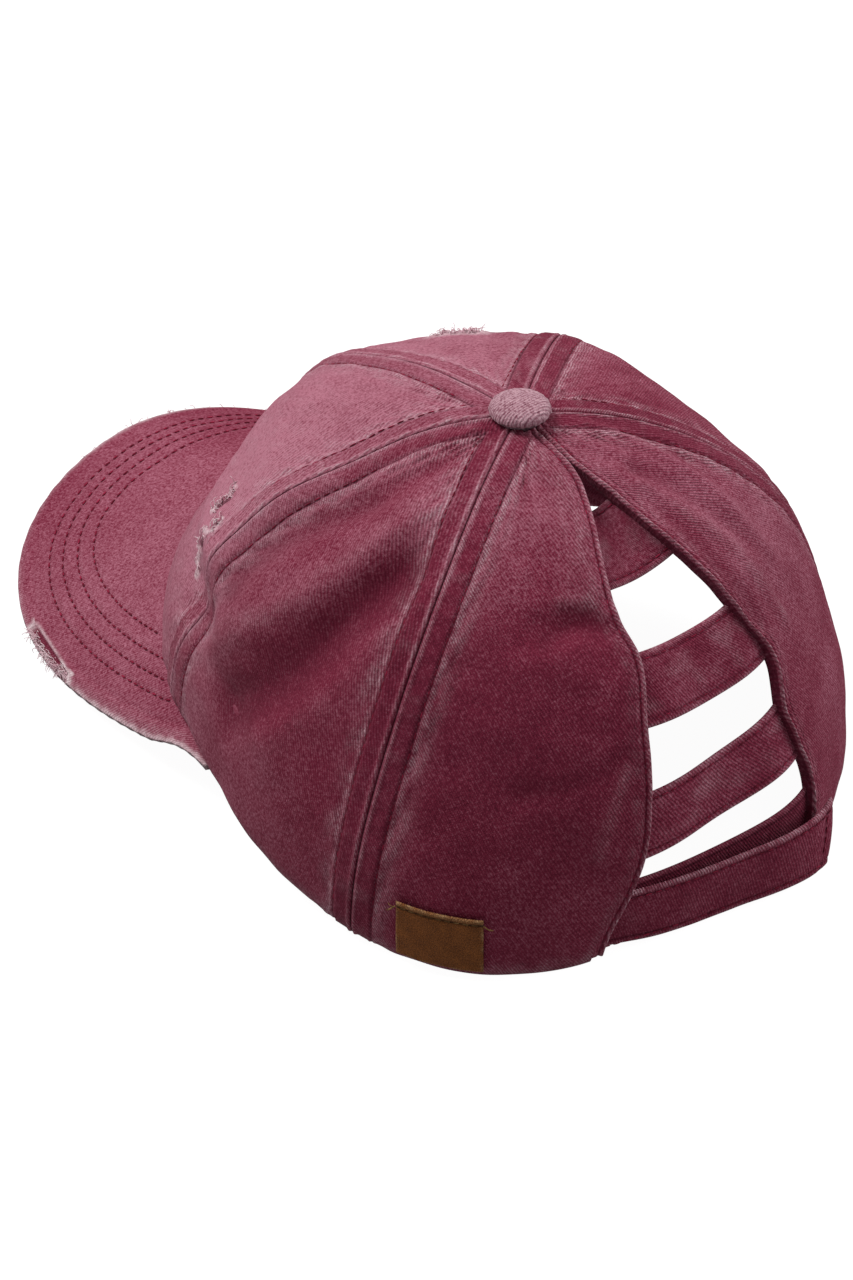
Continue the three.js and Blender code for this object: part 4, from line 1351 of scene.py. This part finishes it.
def sweatband_shape(u, v):
    across, rise = strap_section(v)
    angle = SWEATBAND_ENDS[0] + (SWEATBAND_ENDS[1] - SWEATBAND_ENDS[0]) * u
    height = CLEARANCE + SWEATBAND_HEIGHT / 2 * (1 - across)
    share = share_at_height(angle, height)
    thick = SWEATBAND_THICKNESS / 2
    length = u * SWEATBAND_LENGTH
    from_top = SWEATBAND_HEIGHT / 2 * (1 + across)
    inside = v >= 0.5
    stitched = 0.5 * inside * (bell(from_top, 2, 0.5) + bell(from_top, SWEATBAND_HEIGHT - 3, 0.5))
    relief = 0.1 * inside * ripple(length, from_top, 12, 81) - 0.15 * stitched
    lift = -CROWN_WALL - SWEATBAND_GAP - thick + thick * rise - relief * np.abs(rise)
    points = crown_point(angle, share, lift, wrinkled=False)
    worn = 0.25 * bell(from_top, 0, 1)
    return points, twill_uv(length, -from_top), plain_finish(len(u), worn, stitched, 0.25)


class CAP_OT_sweatband(bpy.types.Operator):
    """Make the sweatband inside the rim"""

    bl_idname = "cap.sweatband"
    bl_label = "Sweatband"

    def execute(self, context):
        settings = context.scene.cap
        dye, band = settings.dye_colour, settings.band_colour
        cloth = cloth_material("Band cloth", dye, band, settings, 0.6, 0.15, 0.08)
        tube_piece("sweatband", "_cloth", 200, 48, sweatband_shape, "band_cloth", cloth)
        return {"FINISHED"}


# Leather patch
def patch_place(x, y, out):
    """A point on the patch: x from its middle, y up from its lower edge, in millimetres."""
    angle = PATCH_ANGLE + x / mm_per_degree(PATCH_ANGLE, 1.0)
    share = share_at_height(angle, PATCH_RIM_MARGIN + y)
    return crown_point(angle, share, CLEARANCE + out, wrinkled=False)


def patch_shape(u, v):
    x, y = (u - 0.5) * PATCH_WIDTH, v * PATCH_HEIGHT
    edge = np.minimum(np.minimum(u, 1 - u) * PATCH_WIDTH, np.minimum(v, 1 - v) * PATCH_HEIGHT)
    rounded = 0.45 * (1 - np.sqrt(1 - (1 - np.clip(edge / 0.45, 0, 1)) ** 2))
    from_top = PATCH_HEIGHT - y
    groove = bell(from_top, 1.5, 0.3)
    fold = 0.28 * (1 - smooth(from_top, 0.9, 1.7))
    dent = 0.1 * ripple(x, y, 9, 91)
    out = PATCH_THICKNESS - rounded - 0.28 * groove + fold + dent - 0.1
    worn = bell(edge, 0, 0.5) * (0.5 + 0.5 * ripple(x, y, 4, 92)) + 0.3 * bell(from_top, 0.6, 0.4)
    uv = np.stack([x, y], -1)
    return patch_place(x, y, out), uv, plain_finish(len(u), worn, groove, 0.5 + 0.2 * ripple(x, y, 10, 93))


def leather_material(settings):
    material, tree, shader = new_material("Patch leather")
    uv, marks, _ = cloth_marks(tree)
    cells = {"Vector": uv, "Scale": 1.5}
    grain = add_node(tree, "ShaderNodeTexVoronoi", cells, feature="DISTANCE_TO_EDGE")
    pore = noise(tree, uv, 3.2, 4, 0.65)
    broad = noise(tree, uv, 0.25, 3, 0.6)
    shade = calc(tree, "ADD", calc(tree, "MULTIPLY", broad, 0.3), calc(tree, "MULTIPLY", pore, 0.9))
    tone = mapped(tree, shade, 0.42, 0.74)
    deep, light = solid(settings.leather_deep), solid(settings.leather_light)
    colour = blend_colour(tree, tone, deep, light)
    rubbed = calc(tree, "MULTIPLY", marks["Red"], mapped(tree, pore, 0.35, 0.6), clamp=True)
    colour = blend_colour(tree, rubbed, colour, LEATHER_RUBBED)
    colour = blend_colour(tree, marks["Green"], colour, LEATHER_GROOVE)
    tree.links.new(colour, shader.inputs["Base Color"])
    tree.links.new(mapped(tree, shade, 0.3, 0.9, 0.62, 0.8), shader.inputs["Roughness"])
    shader.inputs["Specular IOR Level"].default_value = 0.15
    domed = mapped(tree, grain.outputs["Distance"], 0, 0.2)
    add_relief(tree, shader, 0.8, 0.2, calc(tree, "ADD", domed, calc(tree, "MULTIPLY", pore, 0.8)))
    return material


class CAP_OT_patch(bpy.types.Operator):
    """Make the bare leather patch on the left back panel"""

    bl_idname = "cap.patch"
    bl_label = "Leather patch"

    def execute(self, context):
        mesh = grid_mesh("leather_patch_face", 88, 66, patch_shape)
        leather = leather_material(context.scene.cap)
        piece = finished_object("leather_patch_face", mesh, "leather", leather, ["leather_patch"])
        add_wall(piece, PATCH_THICKNESS * 0.8)
        return {"FINISHED"}


# Stitching
def lay_stitches(bm, points, normals, length, pitch, width):
    """Small flattened beads along a line of points in millimetres."""
    gaps = np.linalg.norm(np.diff(points, axis=0), axis=1)
    reach = np.concatenate([[0], np.cumsum(gaps)])
    count = int(reach[-1] / pitch)
    for index in range(count):
        at = (index + 0.5) * pitch
        middle, start, end = (
            np.array([np.interp(at + shift, reach, points[:, k]) for k in range(3)])
            for shift in (0, -length / 2, length / 2)
        )
        normal = Vector([np.interp(at, reach, normals[:, k]) for k in range(3)]).normalized()
        along = Vector(end - start)
        if along.length < 1e-6:
            continue
        along.normalize()
        across = normal.cross(along).normalized()
        normal = along.cross(across)
        turn = Matrix((along, across, normal)).transposed().to_4x4()
        size = Matrix.Diagonal((length / 2 * MM, width / 2 * MM, width * 0.42 * MM, 1))
        place = Matrix.Translation(Vector(placed(middle)))
        upright = Matrix.Rotation(math.pi / 2, 4, "Y")
        matrix = place @ turn @ size @ upright
        bmesh.ops.create_uvsphere(bm, u_segments=6, v_segments=4, radius=1, matrix=matrix)


def stitch_mesh(name, lines, length, pitch, width):
    """One mesh of the stitches along all of a piece's lines."""
    mesh = bpy.data.meshes.new(name)
    bm = bmesh.new()
    for points, normals in lines:
        lay_stitches(bm, points, normals, length, pitch, width)
    bm.to_mesh(mesh)
    bm.free()
    return mesh


def crown_line(angles, shares, lift):
    return crown_point(angles, shares, lift), crown_normal(angles, shares)


def seam_lines():
    """Stitch lines on both sides of each seam, down from where neighbouring lines meet."""
    for seam in SEAMS:
        for side in (-1, 1):
            share = np.linspace(0.05, 0.985, 260)
            middle = angle_at(seam, share)
            angle = middle + side * SEAM_HALF_BAND / mm_per_degree(middle, share)
            clear = seam_distance(angle, share) > SEAM_HALF_BAND - 0.25
            first = int(np.argmax(clear))
            angle, share = angle[first:], share[first:]
            yield crown_line(angle, share, cloth_relief(angle, share) + 0.05)


def hem_lines():
    for table, side in ((OPENING_LEFT, -1), (OPENING_RIGHT, 1)):
        share = np.linspace(HEM_TOP_SHARE + 0.02, 0.985, 240)
        middle = angle_at(table, share)
        angle = middle + side * 1.9 / mm_per_degree(middle, share)
        yield crown_line(angle, share, cloth_relief(angle, share) - 0.3)


def visor_lines():
    side = np.linspace(-0.985, 0.985, 420)
    for row in VISOR_ROWS:
        depth = np.linspace(0.0, 1, 160)
        grid_side, grid_depth = np.meshgrid(side, depth, indexing="ij")
        points = visor_point(grid_side.ravel(), grid_depth.ravel())
        inset = visor_inset(points)[0].reshape(grid_side.shape)
        found = np.array([np.interp(-row, -line, depth) for line in inset])
        inside = inset[:, 0] > row + 0.6
        found_side, found_depth = side[inside], found[inside]
        base = visor_point(found_side, found_depth)
        normal = visor_normal(found_side, found_depth)
        relief = visor_finish_and_relief(base)[1]
        yield base + normal * (relief + 0.26)[:, None], normal


def closure_line(angle, height):
    share = share_at_height(angle, height)
    points = crown_point(angle, share, closure_offset(angle) - 0.16, wrinkled=False)
    return points, crown_normal(angle, share)


def strap_lines():
    for strap in LADDER_STRAPS:
        half = LADDER_STRAP_WIDTH * strap[2] / 2
        for edge in (-1, 1):
            u = np.linspace(0.12, 0.88, 60)
            across = np.full_like(u, edge * (1 - LADDER_STITCH_MARGIN / half))
            angle, share, sag = ladder_place(strap, u, across)
            lift = UNDER_PANEL - sag - 0.18
            yield crown_point(angle, share, lift, wrinkled=False), crown_normal(angle, share)
    half = CLOSURE_WIDTH / 2
    for edge in (-1, 1):
        u = np.linspace(0.1, 0.985, 90)
        across = np.full_like(u, edge * (1 - CLOSURE_STITCH_MARGIN / half))
        yield closure_line(*closure_place(u, across))
    across = np.linspace(-0.75, 0.75, 30)
    near_end = np.full_like(across, 1 - CLOSURE_END_STITCHES / CLOSURE_LENGTH)
    yield closure_line(*closure_place(near_end, across))


def thread_material(name, dark, light):
    """Twisted sewing thread."""
    material, tree, shader = new_material(name)
    position = add_node(tree, "ShaderNodeTexCoord").outputs["Object"]
    tone = mapped(tree, noise(tree, position, 420, 3, 0.6), 0.35, 0.7)
    tree.links.new(blend_colour(tree, tone, solid(dark), solid(light)), shader.inputs["Base Color"])
    tree.links.new(mapped(tree, tone, 0, 1, 0.7, 0.9), shader.inputs["Roughness"])
    shader.inputs["Specular IOR Level"].default_value = 0.1
    plies = {"Vector": position, "Scale": 900, "Distortion": 2}
    twist = add_node(tree, "ShaderNodeTexWave", plies, bands_direction="DIAGONAL")
    add_relief(tree, shader, 0.5, 0.012, twist.outputs["Fac"])
    return material


class CAP_OT_stitches(bpy.types.Operator):
    """Sew the seams, hems, visor rows, straps and patch, stitch by stitch"""

    bl_idname = "cap.stitches"
    bl_label = "Stitching"

    def execute(self, context):
        settings = context.scene.cap
        thread = thread_material("Sewing thread", settings.thread_shadow, settings.thread_colour)
        length, pitch, width = settings.stitch_length, settings.stitch_pitch, settings.stitch_width
        groups = (
            ("seam_stitches", list(seam_lines()), "twill", pitch, width),
            ("hem_stitches", list(hem_lines()), "twill", pitch, width),
            ("visor_stitches", list(visor_lines()), "twill", pitch + 0.4, width + 0.22),
            ("strap_stitches", list(strap_lines()), "strap_twill", pitch, width),
        )
        for name, lines, slot, pitch, width in groups:
            mesh = stitch_mesh(name, lines, length, pitch, width)
            finished_object(name, mesh, slot, thread)
        x = np.linspace(-PATCH_WIDTH / 2 + 0.8, PATCH_WIDTH / 2 - 0.8, 24)
        y = np.full_like(x, PATCH_HEIGHT - 1.5)
        points = patch_place(x, y, PATCH_THICKNESS - 0.2)
        normals = patch_place(x, y, PATCH_THICKNESS + 1) - patch_place(x, y, PATCH_THICKNESS)
        mesh = stitch_mesh("patch_stitches", [(points, normals)], 1.7, 2.3, 0.45)
        gold = thread_material("Patch thread", PATCH_THREAD_DARK, PATCH_THREAD_LIGHT)
        finished_object("patch_stitches", mesh, "leather", gold)
        return {"FINISHED"}


# Frayed threads
UPWARD = np.array([0, 0, 1.0])


def fray_mesh(name, strands, thickness):
    """Strands of points in millimetres as thin round threads."""
    curve = bpy.data.curves.new(name, "CURVE")
    curve.dimensions = "3D"
    curve.bevel_depth = thickness / 2 * MM
    curve.bevel_resolution = 1
    curve.use_fill_caps = True
    for strand in strands:
        spline = curve.splines.new("POLY")
        spline.points.add(len(strand) - 1)
        for index, (point, place) in enumerate(zip(spline.points, placed(strand))):
            point.co = (*place, 1)
            point.radius = 1 - 0.6 * index / len(strand)
    holder = bpy.data.objects.new(name + "_curve", curve)
    bpy.context.scene.collection.objects.link(holder)
    bpy.context.view_layer.update()
    ready = holder.evaluated_get(bpy.context.evaluated_depsgraph_get())
    mesh = bpy.data.meshes.new_from_object(ready)
    mesh.name = name
    bpy.data.objects.remove(holder)
    bpy.data.curves.remove(curve)
    return mesh


def strand_from(draw, start, normal, heading, length, curl):
    """A loose thread that leaves the cloth, leans along a heading and curls back to it."""
    point, direction = np.array(start, float), np.array(heading, float)
    direction = direction / np.linalg.norm(direction)
    strand = [point.copy()]
    steps = 7
    for step in range(steps):
        turn = np.array([draw.uniform(-1, 1) for _ in range(3)]) * curl
        lift = normal * (0.35 if step < 2 else -0.3)
        direction = direction + turn + lift
        direction = direction / np.linalg.norm(direction)
        point = point + direction * length / steps
        strand.append(point.copy())
    return strand


def slit_strands(draw, points, count):
    """Threads that bridge a torn slit of the crown, and others that stick out beside it."""
    rows = np.array(points, float)
    strands = []
    for _ in range(count):
        t = draw.uniform(0, 1) * (len(rows) - 1)
        index = min(int(t), len(rows) - 2)
        angle, share = rows[index] + (rows[index + 1] - rows[index]) * (t - index)
        side = draw.choice((-1, 1))
        angle = angle + side * draw.uniform(0.3, 0.9)
        start = cloth_point(np.array(angle), np.array(share), 0.05)
        normal = crown_normal(np.array(angle), np.array(share))
        along = cloth_point(np.array(angle + side), np.array(share + draw.uniform(-0.02, 0.02))) - start
        strands.append(strand_from(draw, start, normal, along, draw.uniform(1.2, 3.4), 0.5))
    return strands


class CAP_OT_frays(bpy.types.Operator):
    """Add the loose threads at the tears, the visor's edge and the patch's corners"""

    bl_idname = "cap.frays"
    bl_label = "Frayed threads"

    def execute(self, context):
        settings = context.scene.cap
        draw = random.Random(5)
        pale = thread_material("Frayed thread", settings.worn_colour, settings.torn_colour)
        strands = []
        for points in SLITS:
            strands += slit_strands(draw, points, SLIT_THREADS)
        strands += slit_strands(draw, ABRASION, ABRASION_THREADS)
        (x0, y0), (x1, y1) = VISOR_SLIT_FROM, VISOR_SLIT_TO
        for _ in range(VISOR_SLIT_THREADS):
            t = draw.uniform(-0.05, 1.05)
            target = np.array([x0 + (x1 - x0) * t, y0 + (y1 - y0) * t])
            gaps = np.hypot(VISOR_EDGE[:, 0] - target[0], VISOR_EDGE[:, 1] - target[1])
            edge = VISOR_EDGE[gaps.argmin()]
            inward = np.array([*(target - edge[:2]), 0.3]) / max(gaps.min(), 0.5)
            start = edge + inward * draw.uniform(0, 2.4) - np.array([0, 0, 0.3])
            heading = np.array([x1 - x0, y1 - y0, 0]) * draw.choice((-1, 1)) / 24
            heading = heading - inward * draw.uniform(0, 0.9)
            strands.append(strand_from(draw, start, UPWARD, heading, draw.uniform(1.5, 4), 0.4))
        for _ in range(VISOR_TIP_THREADS):
            side = draw.gauss(-0.06, 0.07)
            edge = visor_point(np.array([side]), np.array([1.0]))[0]
            start = edge + np.array([0, draw.uniform(0, 1.2), -draw.uniform(0.5, 1)])
            heading = np.array([draw.uniform(-1, 1), -draw.uniform(0.1, 1), draw.uniform(0, 0.5)])
            strands.append(strand_from(draw, start, UPWARD, heading, draw.uniform(1, 3), 0.5))
        mesh = fray_mesh("frayed_threads", strands, 0.26)
        finished_object("frayed_threads", mesh, "twill", pale)
        gold = bpy.data.materials["Patch thread"]
        strands = []
        for side in (-1, 1):
            half, top = PATCH_WIDTH / 2, PATCH_HEIGHT
            corner = patch_place(np.array(side * half), np.array(top - 1.4), PATCH_THICKNESS)
            out = patch_place(np.array(side * (half + 2)), np.array(top - 2.2), PATCH_THICKNESS)
            normal = crown_normal(np.array(PATCH_ANGLE), np.array(0.9))
            for _ in range(3):
                strands.append(strand_from(draw, corner, normal, out - corner, draw.uniform(2, 3.2), 0.3))
        mesh = fray_mesh("patch_thread_ends", strands, 0.32)
        finished_object("patch_thread_ends", mesh, "leather", gold)
        return {"FINISHED"}


# Stage
def add_area_light(name, direction, distance, size, colour, power):
    light = bpy.data.lights.new(name, "AREA")
    light.shape = "SQUARE"
    light.size = size
    light.energy = power
    light.color = colour
    lamp = bpy.data.objects.new(name, light)
    toward = Vector(direction).normalized()
    lamp.location = Vector(CROWN_MIDDLE) + Vector((0, 0, LIT_HEIGHT)) + toward * distance
    lamp.rotation_euler = toward.to_track_quat("Z", "Y").to_euler()
    bpy.context.scene.collection.objects.link(lamp)


class CAP_OT_stage(bpy.types.Operator):
    """Lay the pale floor, set the soft lights and stand the camera at the photograph's angle"""

    bl_idname = "cap.stage"
    bl_label = "Stage"

    def execute(self, context):
        scene, settings = context.scene, context.scene.cap
        bm = bmesh.new()
        bmesh.ops.create_grid(bm, x_segments=2, y_segments=2, size=6)
        mesh = bpy.data.meshes.new("floor")
        bm.to_mesh(mesh)
        bm.free()
        floor = bpy.data.objects.new("floor", mesh)
        scene.collection.objects.link(floor)
        material, tree, shader = new_material("Pale floor")
        seen = add_node(tree, "ShaderNodeLightPath").outputs["Is Camera Ray"]
        shader.inputs["Base Color"].default_value = FLOOR_GREY
        shader.inputs["Roughness"].default_value = 0.9
        shader.inputs["Specular IOR Level"].default_value = 0
        shader.inputs["Emission Color"].default_value = WHITE
        glow = mapped(tree, seen, 0, 1, settings.floor_glow, settings.floor_white)
        tree.links.new(glow, shader.inputs["Emission Strength"])
        mesh.materials.append(material)
        world = bpy.data.worlds.new("Studio")
        scene.world = world
        world.use_nodes = True
        background = world.node_tree.nodes["Background"]
        background.inputs["Color"].default_value = WHITE
        background.inputs["Strength"].default_value = settings.room_light
        add_area_light(*KEY_LIGHT, settings.key_power)
        add_area_light(*SIDE_LIGHT, settings.side_power)
        scene.view_settings.view_transform = "Standard"
        self.add_camera(scene)
        return {"FINISHED"}

    def add_camera(self, scene):
        azimuth, elevation = math.radians(CAMERA_AZIMUTH), math.radians(CAMERA_ELEVATION)
        back = Vector(
            (
                math.sin(azimuth) * math.cos(elevation),
                -math.cos(azimuth) * math.cos(elevation),
                math.sin(elevation),
            )
        )
        right = Vector((math.cos(azimuth), math.sin(azimuth), 0))
        up = back.cross(right)
        forward = (-back + CAMERA_SHIFT_RIGHT * right + CAMERA_SHIFT_UP * up).normalized()
        camera = bpy.data.cameras.new("camera")
        camera.sensor_width = CAMERA_SENSOR_WIDTH
        camera.lens = CAMERA_LENS
        camera.clip_start, camera.clip_end = 0.01, 50
        holder = bpy.data.objects.new("camera", camera)
        level = forward.cross(up).normalized()
        turn = Matrix((level, level.cross(forward), -forward)).transposed().to_4x4()
        target = Vector(CROWN_MIDDLE) + Vector((0, 0, CAMERA_TARGET_HEIGHT))
        holder.matrix_world = Matrix.Translation(target + back * CAMERA_DISTANCE) @ turn
        scene.collection.objects.link(holder)
        scene.camera = holder


# Settings, panel and registration
def colour_setting(name, description, default):
    return FloatVectorProperty(
        name=name, description=description, default=default, subtype="COLOR", min=0, max=1
    )


def number_setting(name, description, default, **kind):
    return FloatProperty(name=name, description=description, default=default, **kind)


class CapSettings(bpy.types.PropertyGroup):
    """Sizes in millimetres and colours that can be changed."""

    wale: number_setting("Wale", "Width of one diagonal rib of the twill, in mm", 0.7)
    stitch_length: number_setting("Stitch length", "Length of one stitch, in mm", 2.0)
    stitch_pitch: number_setting("Stitch pitch", "From one stitch to the next, in mm", 2.7)
    stitch_width: number_setting("Stitch width", "Width of the thread, in mm", 0.42)
    dye_colour: colour_setting("Dye", "The unfaded dye", (0.185, 0.017, 0.043))
    faded_colour: colour_setting("Faded dye", "The dye where it has washed out", (0.46, 0.17, 0.235))
    # The rubbed and torn fibre colours also paint highlights on the crease ridges and the visor's shaded
    # near edge
    worn_colour: colour_setting("Rubbed fibres", "Pale fibres along seams and edges", (0.62, 0.38, 0.44))
    torn_colour: colour_setting("Torn fibres", "Bare threads at the tears", (0.82, 0.68, 0.71))
    # Dark dye of the stitch lines, also used as painted shade in creases, tears, under the hem rolls and on
    # the closure tab
    dark_dye_and_shade: colour_setting("Stitch lines", "Dark dye in the stitched grooves", (0.075, 0.006, 0.018))
    thread_colour: colour_setting("Thread", "The sewing thread", (0.3, 0.02, 0.055))
    thread_shadow: colour_setting("Thread, deep", "Where the thread is darker", (0.12, 0.007, 0.02))
    band_colour: colour_setting("Sweatband", "Cloth of the sweatband", (0.3, 0.08, 0.13))
    button_deep: colour_setting("Button, deep", "Darker threads of the button's cloth", (0.2, 0.05, 0.085))
    button_faded: colour_setting("Button, faded", "Faded threads of the button's cloth", (0.5, 0.29, 0.34))
    leather_deep: colour_setting("Leather, deep", "Darker leather of the patch", (0.1, 0.03, 0.008))
    leather_light: colour_setting("Leather, light", "Lighter leather of the patch", (0.27, 0.09, 0.022))
    key_power: number_setting("Key light", "Power of the main light", 14.5, subtype="POWER")
    side_power: number_setting("Side light", "Power of the side light", 12, subtype="POWER")
    room_light: number_setting("Room light", "Strength of the even light", 0.3)
    floor_glow: number_setting("Floor glow", "Light that the floor sends back", 0.26)
    floor_white: number_setting("Floor white", "Brightness of the floor as seen", 0.96)


class CAP_PT_build(bpy.types.Panel):
    """Lists the steps that build the cap"""

    bl_idname = "CAP_PT_build"
    bl_label = "Ponytail cap"
    bl_space_type = "VIEW_3D"
    bl_region_type = "UI"
    bl_category = "Cap"

    def draw(self, context):
        for name in CapSettings.__annotations__:
            self.layout.prop(context.scene.cap, name)
        for step in STEPS:
            self.layout.operator(step.bl_idname)


STEPS = (
    CAP_OT_panels,
    CAP_OT_hems,
    CAP_OT_button,
    CAP_OT_visor,
    CAP_OT_ladder_straps,
    CAP_OT_closure,
    CAP_OT_sweatband,
    CAP_OT_patch,
    CAP_OT_stitches,
    CAP_OT_frays,
    CAP_OT_stage,
)
CLASSES = (CapSettings, *STEPS, CAP_PT_build)


def register():
    for item in CLASSES:
        bpy.utils.register_class(item)
    bpy.types.Scene.cap = PointerProperty(type=CapSettings)


def unregister():
    del bpy.types.Scene.cap
    for item in reversed(CLASSES):
        bpy.utils.unregister_class(item)


def main():
    register()
    bpy.ops.cap.panels()
    bpy.ops.cap.hems()
    bpy.ops.cap.button()
    bpy.ops.cap.visor()
    bpy.ops.cap.ladder_straps()
    bpy.ops.cap.closure()
    bpy.ops.cap.sweatband()
    bpy.ops.cap.patch()
    bpy.ops.cap.stitches()
    bpy.ops.cap.frays()
    bpy.ops.cap.stage()


if __name__ == "__main__":
    main()
